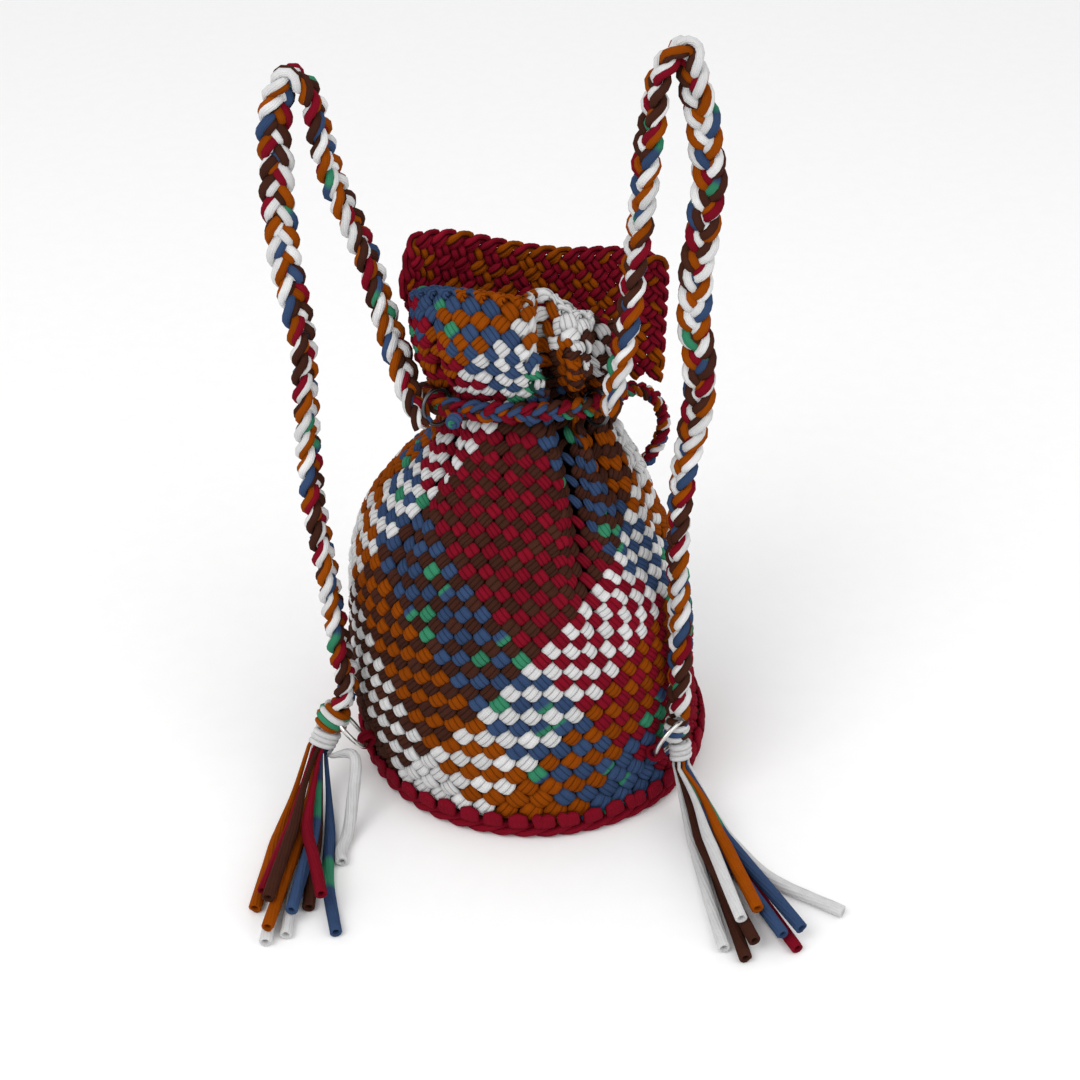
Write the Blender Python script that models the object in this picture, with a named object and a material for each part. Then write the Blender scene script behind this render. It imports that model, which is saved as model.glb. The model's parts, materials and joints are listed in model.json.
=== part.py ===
"""A bucket backpack woven from rolled jersey yarn, standing on its round base.

Units are metres, +Z is up and the bag's front looks along -Y.
The origin is on the floor under the middle of the base.
"""
import math

import bpy
import numpy as np

# Clearance between pieces that touch
GAP = 0.0003

# Base
BASE_DIAMETER = 0.2286
BASE_THICKNESS = 0.007
EDGE_WIDTH = 0.011
EDGE_HEIGHT = 0.010
EDGE_PLAIT_BUMPS = 30

# Wall: a bias-woven tube, gathered at the neck, with a ruffle above it
WALL_THICKNESS = 0.006
WALL_INSET = 0.002
WEAVE_RIDGES = 36
WEAVE_RELIEF = 0.0022
BODY_SWELL = 0.001
SHOULDER_HEIGHT = 0.148
LEAN = 0.007
NECK_HEIGHT = 0.259
NECK_TILT = 0.013
NECK_LEFT = 0.051
NECK_RIGHT = 0.053
NECK_FRONT = 0.044
NECK_BACK = 0.038
RIM_ABOVE_NECK = 0.047
RIM_HEIGHT = NECK_HEIGHT + RIM_ABOVE_NECK
RIM_TILT_FRONT = 0.031
RIM_TILT_RIGHT = -0.012
RUFFLE_LEFT = 0.067
RUFFLE_RIGHT = 0.063
RUFFLE_FRONT = 0.058
RIM_FRONT = 0.034
RIM_BACK = 0.040

# Pleats: angle from the front in degrees, then depth, each at the shoulder, neck, ruffle and rim; half width
PLEATS = [
    ((30, 28, 19, 17), (0.009, 0.012, 0.025, 0.014), 11),
    ((-50, -55, -52, -50), (0.004, 0.0075, 0.003, 0.001), 10),
    ((54, 46, 50, 52), (0.003, 0.0075, 0.009, 0.006), 10),
    ((-84, -86, -86, -88), (0.003, 0.005, 0.005, 0.003), 9),
    ((-12, -14, -16, -16), (0.001, 0.002, 0.001, 0.0), 9),
    ((78, 80, 80, 80), (0.004, 0.006, 0.007, 0.004), 9),
    ((104, 106, 108, 108), (0.003, 0.006, 0.007, 0.004), 9),
    ((134, 134, 136, 136), (0.004, 0.007, 0.008, 0.005), 9),
    ((164, 164, 162, 162), (0.003, 0.005, 0.004, 0.002), 9),
    ((-164, -164, -162, -162), (0.003, 0.005, 0.004, 0.002), 9),
    ((-136, -136, -138, -138), (0.004, 0.007, 0.008, 0.005), 9),
    ((-110, -110, -112, -112), (0.003, 0.006, 0.006, 0.004), 9),
]

# Drawstring, its knot and the rings that hang on it
DRAWSTRING = 0.012
DRAWSTRING_BUMPS = 28
NECK_RING_RADIUS = 0.0105
NECK_RING_WIRE = 0.0025
NECK_RING_ANGLES = {"left": -55, "right": 46}
KNOT_ANGLE = -36
KNOT_RADIUS = 0.0065
KNOT_LENGTH = 0.009
KNOT_DROP = 0.002

# Flap
TOTAL_HEIGHT = 0.3556
FLAP_THICKNESS = 0.006
RIM_CLEARANCE = 0.001
FLAP_RELIEF = 0.0011
FLAP_COLUMNS = 22
FLAP_ROWS = 12
# Its foot follows the rear rim at these angles and heights over the rim's mean height, and goes on to its free
# part's points, whose heights are over the same one
FLAP_FOOT_ANGLES = [-94.0, -115.0, -138.0, -160.0, -180.0]
FLAP_FOOT_HEIGHTS = [0.012, -0.005, -0.023, -0.037, -0.048]
FLAP_FREE_FOOT = [(0.0490, 0.048, -0.060), (0.0810, 0.051, -0.074)]
FLAP_FOOT_SHARES = [0.0, 0.13, 0.26, 0.39, 0.5, 0.82, 1.0]
# Its upper edge from left to right as x, y and the drop below the bag's full height
FLAP_TOP = [
    (-0.0720, 0.022, 0.0), (-0.0480, 0.034, 0.006), (-0.0170, 0.0437, 0.017), (0.0180, 0.0437, 0.022),
    (0.0530, 0.044, 0.022), (0.0810, 0.036, 0.023),
]
FLAP_TOP_SHARES = [0.0, 0.16, 0.36, 0.59, 0.82, 1.0]

# The routes below were drawn beside a bag of this base radius, neck height and height of its full width, and they move
# by what the bag differs from it
DRAWN_BAG = (0.1143, 0.259, 0.180)

# Straps: a flat braid each
STRAP_WIDTH = 0.020
STRAP_THICKNESS = 0.013
STRAP_BUMP_PITCH = 0.0098
RING_CLEARANCE = 0.0004

# Base rings, the yarn loops that tie them to the wall, and what ends the straps.
# A ring's plane holds the way to the knot and roughly the direction that it faces; it is then rolled a little.
BASE_RING_RADIUS = 0.014
BASE_RING_WIRE = 0.003
RING_FACES = (0.10, -0.77, 0.63)
RING_ROLL = 0.35
LOOP_SHARE = 0.62
LOOP_LENGTH = 0.0085
LOOP_RADIUS = 0.0042
STRAP_KNOT_LENGTH = 0.018
STRAP_KNOT_RADIUS = 0.0115
BINDING_LENGTH = 0.012
BINDING_WIDTH = 0.0195
BINDING_DEPTH = 0.012

# Tassel strands
YARN = 0.0078
YARN_IN_BINDING = 0.33
SLOT_PITCH = 0.0029
SLOT_LAYER = 0.0036
LANDED_PITCH = 0.0080
LAYER_HEIGHT = 0.0082
LAYER_REACH = 0.006
STRAND_STRAIGHT = 0.006
BEND_SHARE = 0.55
BEND_SHIFT = (0.0, 0.004, -0.004)
BEND_RISE = 0.003
YARN_AT_BEND = 0.52
YARN_LANDED = 0.92

# Carry loop
CARRY_LOOP = 0.0095
CARRY_SECTIONS = 13
# It is seated on the wall at these angles from the front and shares of the way up to the neck; the route is measured
# from the straight line between both seats
CARRY_SEATS = [(123.3, 0.91), (111.4, 0.69)]
CARRY_ROUTE = [
    (0.0046, 0.0042, 0.0042), (0.0130, 0.0044, 0.0156), (0.0193, 0.0046, 0.0189), (0.0231, 0.0047, 0.0163),
    (0.0230, 0.0049, 0.0097), (0.0178, 0.0041, 0.0040), (0.0092, 0.0023, 0.0004), (0.0018, 0.0004, 0.0008),
]

# Strap routes from the neck ring over the top and down to the base: x, y, z and the turn of the broad side in degrees
STRAP_ROUTES = {
    "left": [
        (-0.0632, -0.042, 0.258, -50), (-0.0700, -0.031, 0.269, -45), (-0.0790, -0.014, 0.291, -35),
        (-0.0865, -0.005, 0.312, -25), (-0.0920, 0.000, 0.333, -20), (-0.0990, 0.002, 0.356, -20),
        (-0.1080, 0.003, 0.379, -20), (-0.1150, 0.003, 0.402, -20), (-0.1190, 0.002, 0.426, -15),
        (-0.1235, 0.000, 0.448, 0), (-0.1320, -0.003, 0.457, 20), (-0.1400, -0.005, 0.441, 60),
        (-0.1425, -0.008, 0.408, 85), (-0.1415, -0.015, 0.364, 75), (-0.1380, -0.019, 0.336, 50),
        (-0.1330, -0.024, 0.308, 30), (-0.1325, -0.029, 0.280, 20), (-0.1325, -0.036, 0.240, 20),
        (-0.1305, -0.043, 0.200, 15), (-0.1265, -0.048, 0.172, 10), (-0.1225, -0.054, 0.138, 10),
        (-0.1190, -0.058, 0.105, 15), (-0.1160, -0.060, 0.082, 20), (-0.1200, -0.061, 0.066, 20),
    ],
    "right": [
        (0.0410, -0.053, 0.261, 50), (0.0450, -0.050, 0.275, 40), (0.0480, -0.044, 0.290, 30),
        (0.0520, -0.037, 0.305, 25), (0.0555, -0.029, 0.326, 20), (0.0585, -0.022, 0.357, 20),
        (0.0620, -0.017, 0.388, 25), (0.0635, -0.014, 0.412, 30), (0.0665, -0.012, 0.438, 25),
        (0.0725, -0.010, 0.466, 0), (0.0815, -0.010, 0.476, -20), (0.0890, -0.013, 0.452, -60),
        (0.0955, -0.016, 0.424, -85), (0.0980, -0.020, 0.402, -85), (0.0955, -0.026, 0.378, -80),
        (0.0925, -0.031, 0.350, -80), (0.0925, -0.034, 0.322, -80), (0.0960, -0.038, 0.298, -75),
        (0.0960, -0.042, 0.270, -50), (0.0910, -0.047, 0.244, -30), (0.0880, -0.051, 0.218, -20),
        (0.0870, -0.056, 0.180, -15), (0.0895, -0.063, 0.136, -15), (0.0905, -0.070, 0.102, -20),
        (0.0905, -0.073, 0.086, -20), (0.0905, -0.075, 0.070, -20),
    ],
}

# Base rings: the angle from the front and the height where the yarn loop meets the wall
BASE_RING_SEATS = {"left": (-60, 0.036), "right": (45, 0.045)}

# Direction in which the strap's knot, its binding and the strands leave the strap
STRAP_ENDS = {"left": (-0.46, -0.215, -0.86), "right": (0.08, -0.20, -0.98)}

# Tassels: where the strands reach the floor and the direction of their row; then for each strand its layer, its place
# in that layer's row, its yarn, where it ends (x, y) and how far its middle bows to the right of straight.
# A strand that strays from the others has its own route instead.
TASSELS = {
    "left": {
        "landing": (-0.1430, -0.112), "across": (1.0, 0.06),
        "strands": [
            (0, -2, "orange", -0.1660, -0.178, 0), (0, -1, "white", -0.1565, -0.206, 0),
            (0, 0, "white", -0.1450, -0.200, 0), (0, 1, "brown", -0.1340, -0.177, 0),
            (0, 2, "blue", -0.1160, -0.198, -0.003),
            (1, -1, "crimson", -0.1610, -0.172, 0), (1, 0, "orange", -0.1550, -0.202, 0),
            (1, 1, "blue", -0.1425, -0.188, 0),
            (2, -0.5, "brown", -0.1560, -0.186, 0), (2, 0.5, "crimson", -0.1250, -0.183, 0),
        ],
        "stray": ("white", 1, 2.6, [(-0.1125, -0.082, 0.042), (-0.1130, -0.099, 0.020), (-0.1160, -0.116, 0.0045),
                                    (-0.1185, -0.128, 0.0045), (-0.1175, -0.138, 0.0045)]),
    },
    "right": {
        "landing": (0.1110, -0.120), "across": (1.0, 0.26),
        "strands": [
            (0, -1.5, "white", 0.1120, -0.211, 0), (0, -0.5, "brown", 0.1240, -0.219, 0),
            (0, 0.5, "crimson", 0.1550, -0.211, 0), (0, 1.5, "white", 0.1850, -0.181, -0.012),
            (1, -1, "brown", 0.1290, -0.213, 0), (1, 0, "blue", 0.1460, -0.208, 0),
            (1, 1, "blue", 0.1575, -0.203, 0),
            (2, -0.5, "white", 0.1220, -0.203, 0), (2, 0.5, "orange", 0.1320, -0.195, 0),
        ],
    },
}

COLORS = {
    "crimson": (0.32, 0.013, 0.04),
    "brown": (0.045, 0.015, 0.011),
    "orange": (0.42, 0.10, 0.004),
    "blue": (0.05, 0.10, 0.26),
    "white": (0.69, 0.67, 0.64),
    "silver": (0.60, 0.60, 0.61),
    "gunmetal": (0.05, 0.05, 0.055),
}


def clear_scene():
    """Remove every object that the file opened with."""
    for item in list(bpy.data.objects):
        bpy.data.objects.remove(item, do_unlink=True)


def make_collection(name):
    group = bpy.data.collections.new(name)
    bpy.context.scene.collection.children.link(group)
    return group


def make_material(name, color, roughness=0.85, metallic=0.0):
    made = bpy.data.materials.new(name)
    made.use_nodes = True
    shader = made.node_tree.nodes["Principled BSDF"]
    shader.inputs["Base Color"].default_value = (*COLORS[color], 1.0)
    shader.inputs["Roughness"].default_value = roughness
    shader.inputs["Metallic"].default_value = metallic
    return made


def place(item, group):
    """Leave the object in one collection only."""
    for owner in list(item.users_collection):
        owner.objects.unlink(item)
    group.objects.link(item)


def add_mesh(name, points, faces, group, material=None):
    mesh = bpy.data.meshes.new(name)
    mesh.from_pydata([tuple(map(float, p)) for p in points], [], faces)
    mesh.update()
    mesh.shade_smooth()
    item = bpy.data.objects.new(name, mesh)
    group.objects.link(item)
    if material:
        mesh.materials.append(material)
    return item


def subtract(item, cutter):
    """Cut with the exact solver, and mark the cutter as a guide."""
    cut = item.modifiers.new("cut", "BOOLEAN")
    cut.operation = "DIFFERENCE"
    cut.solver = "EXACT"
    cut.object = cutter
    cutter.hide_render = True
    cutter.display_type = "WIRE"


def through(knots, rows, where):
    """Cubic curve through rows, whose slope at each knot is that of the chord between its neighbours."""
    knots = np.asarray(knots, float)
    rows = np.asarray(rows, float)
    slope = np.gradient(rows, knots, axis=0)
    where = np.clip(where, knots[0], knots[-1])
    k = np.clip(np.searchsorted(knots, where, side="right") - 1, 0, len(knots) - 2)
    span = knots[k + 1] - knots[k]
    f = ((where - knots[k]) / span)[..., None]
    span = span[..., None]
    first = (1 + 2 * f) * (1 - f) ** 2 * rows[k] + f * (1 - f) ** 2 * span * slope[k]
    return first + f * f * (3 - 2 * f) * rows[k + 1] - f * f * (1 - f) * span * slope[k + 1]


def along(points, count):
    """Points at even steps on a smooth curve through the route's own points."""
    points = np.asarray(points, float)
    steps = np.linalg.norm(np.diff(points[:, :3], axis=0), axis=1)
    knots = np.concatenate([[0.0], np.cumsum(steps)])
    return through(knots, points, np.linspace(0.0, knots[-1], count))


def unit(vector):
    vector = np.asarray(vector, float)
    return vector / np.linalg.norm(vector, axis=-1, keepdims=True)


def wall_levels():
    """Envelope rows: height, reach to left, right, front and back, tilt to the front and to the right."""
    foot = EDGE_HEIGHT + GAP
    base = BASE_DIAMETER / 2 - WALL_INSET
    body = base + BODY_SWELL
    above = NECK_HEIGHT - SHOULDER_HEIGHT
    ruffle = RIM_HEIGHT - NECK_HEIGHT
    rows = np.array([
        (foot, base - LEAN, base + LEAN, base, base, 0, 0),
        (0.35 * SHOULDER_HEIGHT, body, body, body, body, 0, 0),
        (0.70 * SHOULDER_HEIGHT, body - 0.001, body - 0.003, body - 0.001, body - 0.002, 0, 0),
        (SHOULDER_HEIGHT, body - 0.004, body - 0.013, body - 0.007, body - 0.008, 0, 0),
        (SHOULDER_HEIGHT + 0.26 * above, body - 0.014, body - 0.026, body - 0.018, body - 0.019, 0.001, 0),
        (SHOULDER_HEIGHT + 0.52 * above, body - 0.034, body - 0.036, body - 0.035, body - 0.037, 0.003, 0),
        (SHOULDER_HEIGHT + 0.76 * above, NECK_LEFT + 0.006, NECK_RIGHT + 0.010, NECK_FRONT + 0.013,
         NECK_BACK + 0.014, 0.008, 0.001),
        (NECK_HEIGHT, NECK_LEFT, NECK_RIGHT, NECK_FRONT, NECK_BACK, NECK_TILT, 0.001),
        (NECK_HEIGHT + 0.36 * ruffle, RUFFLE_LEFT - 0.006, RUFFLE_RIGHT - 0.004, RUFFLE_FRONT - 0.005,
         RIM_BACK - 0.001, NECK_TILT + 0.001, -0.004),
        (NECK_HEIGHT + 0.72 * ruffle, RUFFLE_LEFT - 0.001, RUFFLE_RIGHT, RUFFLE_FRONT, RIM_BACK, 0.021, -0.009),
        (RIM_HEIGHT, RUFFLE_LEFT, RUFFLE_RIGHT, RIM_FRONT, RIM_BACK, RIM_TILT_FRONT, RIM_TILT_RIGHT),
    ])
    return rows + LEAN * np.array([0, 1, -1, 0, 0, 0, 0])


def wall_knots(levels):
    """Arc length of the mean outline at each level."""
    reach = levels[:, 1:5].mean(axis=1)
    steps = np.hypot(np.diff(levels[:, 0]), np.diff(reach))
    return np.concatenate([[0.0], np.cumsum(steps)])


def pleat_depth(angle, arc, knots):
    """Sum of the pleats: each is a squared cosine across its width, and fades out down the shoulder."""
    stops = [knots[2], knots[5], knots[7], knots[9], knots[10]]
    total = np.zeros(np.broadcast(angle, arc).shape)
    for angles, depths, width in PLEATS:
        middle = np.interp(arc, stops, [2 * angles[0] - angles[1], *angles])
        depth = np.interp(arc, stops, [0.0, *depths])
        off = (angle - np.radians(middle) + math.pi) % (2 * math.pi) - math.pi
        off = np.clip(off / math.radians(width), -1, 1)
        total += depth * np.cos(off * math.pi / 2) ** 2
    return total


def wall_point(angle, arc, inward=0.0, pleated=True):
    """Point of the wall at an angle from the front and an arc length above the foot."""
    levels = wall_levels()
    knots = wall_knots(levels)
    row = through(knots, levels, arc)
    height, left, right, front, back, tilt_front, tilt_right = (row[..., i] for i in range(7))
    reach = inward + (pleat_depth(angle, arc, knots) if pleated else 0.0)
    x = (right - left) / 2 + ((right + left) / 2 - reach) * np.sin(angle)
    y = (back - front) / 2 - ((back + front) / 2 - reach) * np.cos(angle)
    z = height + tilt_front * np.cos(angle) + tilt_right * np.sin(angle)
    return np.stack(np.broadcast_arrays(x, y, z), axis=-1)


def arc_at(height):
    """Arc length of a height on the body, where the wall is nearly upright."""
    levels = wall_levels()
    return float(np.interp(height, levels[:, 0], wall_knots(levels)))


def build_wall(group):
    """Outer face with a raised middle in each cell; smoother inner face that passes behind the pleats."""
    knots = wall_knots(wall_levels())
    around = 2 * WEAVE_RIDGES
    cell = math.pi * BASE_DIAMETER / around
    rows = round(knots[-1] / cell)
    angles = np.arange(around) * 2 * math.pi / around
    arcs = np.linspace(0.0, knots[-1], rows + 1)
    low = (np.arange(around)[None, :] + np.arange(rows + 1)[:, None]) % 2
    relief = WEAVE_RELIEF * low
    relief[0] = 0.0
    outer = wall_point(angles[None, :], arcs[:, None], relief)

    inner_rows = rows // 3
    inner_arcs = np.linspace(0.0, knots[-1], inner_rows + 1)
    half = angles[::2]
    depth = pleat_depth(angles[None, :], inner_arcs[:, None], knots) + WEAVE_RELIEF
    deepest = np.max([np.roll(depth, shift, axis=1) for shift in (-2, -1, 0, 1, 2)], axis=0)[:, ::2]
    inner = wall_point(half[None, :], inner_arcs[:, None], WALL_THICKNESS + deepest, pleated=False)

    points = np.concatenate([outer.reshape(-1, 3), inner.reshape(-1, 3)])
    start = outer.shape[0] * around
    count = len(half)
    faces = []
    for m in range(rows):
        for j in range(around):
            a, b = m * around + j, m * around + (j + 1) % around
            c, d = b + around, a + around
            if (j + m) % 2:
                faces += [(a, b, c), (a, c, d)]
            else:
                faces += [(a, b, d), (b, c, d)]
    for m in range(inner_rows):
        for j in range(count):
            a, b = start + m * count + j, start + m * count + (j + 1) % count
            faces.append((a, a + count, b + count, b))
    for row, ring, flip in ((0, start, False), (rows * around, start + inner_rows * count, True)):
        for j in range(count):
            a, b, c = row + 2 * j, row + 2 * j + 1, row + (2 * j + 2) % around
            p, q = ring + j, ring + (j + 1) % count
            fan = [(a, p, b), (b, p, q), (b, q, c)]
            faces += [tuple(reversed(face)) for face in fan] if flip else fan
    return add_mesh("woven_wall", points, faces, group, make_material("wall_yarn", "crimson"))


def tube(rings, closed=False):
    """Faces of a skin over rings of points, with flat ends unless it closes on itself."""
    count, sides = len(rings), len(rings[0])
    faces = []
    for k in range(count if closed else count - 1):
        n = (k + 1) % count
        for j in range(sides):
            i = (j + 1) % sides
            faces.append((k * sides + j, k * sides + i, n * sides + i, n * sides + j))
    if not closed:
        faces.append(tuple(reversed(range(sides))))
        faces.append(tuple((count - 1) * sides + j for j in range(sides)))
    return np.concatenate(rings), faces


def braid_rings(path, ahead, broad, width, thickness, bump=0.10, sides=8):
    """Oval sections along a path that bulge to one edge and then to the other, as a braid does."""
    broad = unit(broad - (broad * ahead).sum(axis=1, keepdims=True) * ahead)
    face = np.cross(ahead, broad)
    turn = np.arange(sides) * 2 * math.pi / sides + math.pi / sides
    rings = []
    for k in range(len(path)):
        edge = 1 - bump + bump * np.cos(turn) * (-1) ** k
        across = width / 2 * edge * np.cos(turn)
        through_it = thickness / 2 * edge * np.sin(turn)
        rings.append(path[k] + across[:, None] * broad[k] + through_it[:, None] * face[k])
    return rings


def build_base(group):
    """Flat round disc that the bag stands on, and the plait sewn round it."""
    inside = BASE_DIAMETER / 2 - EDGE_WIDTH
    bpy.ops.mesh.primitive_cylinder_add(
        vertices=60, radius=inside - GAP, depth=BASE_THICKNESS, location=(0, 0, BASE_THICKNESS / 2))
    disc = bpy.context.object
    disc.name = disc.data.name = "base_disc"
    place(disc, group)
    disc.data.materials.append(make_material("base_yarn", "crimson"))
    disc.data.shade_smooth()
    disc.data.set_sharp_from_angle(angle=math.radians(40))

    steps = 2 * EDGE_PLAIT_BUMPS
    turn = np.arange(steps) * 2 * math.pi / steps
    middle = inside + EDGE_WIDTH / 2
    rings = []
    for k in range(steps):
        outward = np.array([math.sin(turn[k]), -math.cos(turn[k]), 0.0])
        swell = 1.0 if k % 2 else 0.86
        half, tall = EDGE_WIDTH / 2, EDGE_HEIGHT
        section = [(-half, 0), (-half, tall * 0.75), (-half * 0.5, tall), (half * 0.4, tall),
                   (half * swell, tall * 0.7), (half * swell, tall * 0.3), (half * 0.7, 0)]
        rings.append(np.array([outward * (middle + a) + np.array([0, 0, b]) for a, b in section]))
    points, faces = tube(rings, closed=True)
    add_mesh("base_edge_plait", points, faces, group, make_material("edge_yarn", "crimson"))


def neck_arc():
    return wall_knots(wall_levels())[7]


def drawstring_line(angle):
    """Middle of the drawstring at an angle, and the way out of the wall there."""
    angle = np.asarray(angle, float)
    at = wall_point(angle, neck_arc() + 0 * angle, pleated=False)
    before = wall_point(angle - 0.01, neck_arc() + 0 * angle, pleated=False)
    after = wall_point(angle + 0.01, neck_arc() + 0 * angle, pleated=False)
    ahead = unit(after - before)
    out = unit(np.cross(ahead, np.array([0.0, 0.0, 1.0])))
    return at + out * (DRAWSTRING / 2 + GAP), out, ahead


def build_drawstring(group):
    steps = 2 * DRAWSTRING_BUMPS
    turn = np.arange(steps) * 2 * math.pi / steps
    middle, out, ahead = drawstring_line(turn)
    sides = 8
    round_it = np.arange(sides) * 2 * math.pi / sides
    rings = []
    for k in range(steps):
        up = np.cross(out[k], ahead[k])
        swell = 0.90 + 0.10 * np.cos(round_it - (0.8 if k % 2 else 2.4))
        ring = np.cos(round_it)[:, None] * out[k] - np.sin(round_it)[:, None] * up
        rings.append(middle[k] + DRAWSTRING / 2 * swell[:, None] * ring)
    points, faces = tube(rings, closed=True)
    return add_mesh("drawstring", points, faces, group, make_material("drawstring_yarn", "blue"))


def add_ring(name, center, axis, radius, wire, group, material=None):
    bpy.ops.mesh.primitive_torus_add(
        major_radius=radius, minor_radius=wire / 2, major_segments=24, minor_segments=7)
    ring = bpy.context.object
    ring.name = ring.data.name = name
    from_z = np.array([0.0, 0.0, 1.0])
    side = unit(np.cross(from_z, axis))
    angle = math.acos(float(np.clip(np.dot(from_z, unit(axis)), -1, 1)))
    ring.rotation_mode = "AXIS_ANGLE"
    ring.rotation_axis_angle = (angle, *map(float, side))
    ring.location = tuple(map(float, center))
    place(ring, group)
    ring.data.shade_smooth()
    if material:
        ring.data.materials.append(material)
    return ring


def ring_pair(name, center, axis, radius, wire, group, cutters, material):
    """The ring itself, and a thicker copy that clears the way for it through what holds it."""
    add_ring(name, center, axis, radius, wire, group, material)
    return add_ring(name + "_way", center, axis, radius, wire + 2 * RING_CLEARANCE, cutters)


def build_neck_rings(group, cutters):
    """Rings threaded on the drawstring, each hanging out from the wall."""
    ways = {}
    for side, degrees in NECK_RING_ANGLES.items():
        middle, out, ahead = drawstring_line(math.radians(degrees))
        shift = NECK_RING_RADIUS - NECK_RING_WIRE / 2 - DRAWSTRING / 2 - GAP
        material = make_material("neck_ring_metal_" + side, "gunmetal", 0.3, 1.0)
        ways[side] = ring_pair("neck_ring_" + side, middle + out * shift, ahead, NECK_RING_RADIUS,
                               NECK_RING_WIRE, group, cutters, material)
    return ways


def wall_moved(angle, height):
    """How far a place on the wall has moved from where the routes were drawn beside it."""
    out = np.array([math.sin(angle), -math.cos(angle), 0.0])
    radius, neck, full = DRAWN_BAG
    return out * (BASE_DIAMETER / 2 - radius) * np.clip((neck - height) / (neck - full), 0.0, 1.0)


def beside_bag(route):
    """Route moved with the bag: outward where it passes the body, and up with the neck where it starts."""
    moved = np.array(route, float)
    peak = int(np.argmax(moved[:, 2]))
    neck = DRAWN_BAG[1]
    for k, row in enumerate(moved):
        angle = math.atan2(row[0], -row[1])
        if k < peak:
            row[2] += (NECK_HEIGHT - neck) * (moved[peak, 2] - row[2]) / (moved[peak, 2] - neck)
        else:
            row[:3] += wall_moved(angle, row[2])
    return moved


def strap_end(side):
    """Last point of a strap, where its knot starts."""
    return beside_bag(STRAP_ROUTES[side])[-1, :3]


def route_rows(side):
    """Route at even steps; the last step follows the direction in which the strap ends."""
    route = beside_bag(STRAP_ROUTES[side])
    length = np.linalg.norm(np.diff(route[:, :3], axis=0), axis=1).sum()
    return along(route, round(length / STRAP_BUMP_PITCH) + 1)


def strap_path(side):
    rows = route_rows(side)
    path, turn = rows[:, :3], np.radians(rows[:, 3])
    ahead = unit(np.gradient(path, axis=0))
    ahead[-1] = unit(STRAP_ENDS[side])
    front = np.array([0.0, 1.0, 0.0])
    first = unit(front - (ahead @ front)[:, None] * ahead)
    second = np.cross(ahead, first)
    return path, ahead, np.cos(turn)[:, None] * first + np.sin(turn)[:, None] * second


def build_strap(side, group, way):
    path, ahead, broad = strap_path(side)
    points, faces = tube(braid_rings(path, ahead, broad, STRAP_WIDTH, STRAP_THICKNESS))
    strap = add_mesh("strap_" + side, points, faces, group, make_material("strap_yarn_" + side, "blue"))
    subtract(strap, way)


def barrel(name, start, axis, length, widths, depths, group, material, sides=12):
    """Stack of ovals along an axis, with flat ends."""
    axis = unit(axis)
    wide = unit(np.cross([0.0, 1.0, 0.0], axis))
    deep = np.cross(axis, wide)
    turn = np.arange(sides) * 2 * math.pi / sides
    rings = []
    for f, w, d in zip(np.linspace(0, 1, len(widths)), widths, depths):
        middle = start + axis * length * f
        rings.append(middle + np.cos(turn)[:, None] * wide * w / 2 + np.sin(turn)[:, None] * deep * d / 2)
    points, faces = tube(rings)
    return add_mesh(name, points, faces, group, material)


def base_ring_seat(side):
    """Where a yarn loop leaves the wall, and the way out there."""
    degrees, height = BASE_RING_SEATS[side]
    angle = math.radians(degrees)
    out = np.array([math.sin(angle), -math.cos(angle), 0.0])
    return wall_point(angle, arc_at(height)) + out * GAP, out


def build_strap_end(side, group, cutters):
    """Knot, binding, base ring and the yarn loop that ties the ring to the wall."""
    end = strap_end(side)
    axis = unit(STRAP_ENDS[side])
    knot_start = end + axis * GAP
    knot_middle = knot_start + axis * STRAP_KNOT_LENGTH / 2
    wide = 2 * STRAP_KNOT_RADIUS * np.array([0.62, 0.92, 1.0, 0.92, 0.62])
    color = "orange" if side == "left" else "white"
    knot = barrel("strap_knot_" + side, knot_start, axis, STRAP_KNOT_LENGTH, wide, wide, group,
                  make_material("knot_yarn_" + side, color))

    seat, out = base_ring_seat(side)
    held = seat + out * LOOP_LENGTH * LOOP_SHARE
    inward = unit(knot_middle - held)
    center = held + inward * BASE_RING_RADIUS
    ring_axis = unit(np.cross(inward, RING_FACES))
    ring_axis = unit(ring_axis + RING_ROLL * np.cross(ring_axis, inward))
    way = ring_pair("base_ring_" + side, center, ring_axis, BASE_RING_RADIUS, BASE_RING_WIRE, group, cutters,
                    make_material("base_ring_metal_" + side, "silver", 0.25, 1.0))
    subtract(knot, way)
    round_it = 2 * LOOP_RADIUS * np.array([0.9, 1.0, 1.0, 1.0, 0.6])
    loop = barrel("base_loop_" + side, seat, out, LOOP_LENGTH, round_it, round_it * 1.15, group,
                  make_material("loop_yarn_" + side, "crimson"), sides=10)
    subtract(loop, way)

    bound = knot_start + axis * (STRAP_KNOT_LENGTH + GAP)
    turns = np.array([0.94, 1.0, 0.95, 1.0, 0.94])
    barrel("tassel_binding_" + side, bound, axis, BINDING_LENGTH, BINDING_WIDTH * turns, BINDING_DEPTH * turns,
           group, make_material("binding_yarn_" + side, "white"))
    return bound + axis * (BINDING_LENGTH + GAP), axis


def lying(layer):
    """Height of the middle of a strand that lies on the floor, or on so many layers of others."""
    return YARN / 2 + GAP + LAYER_HEIGHT * layer


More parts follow.
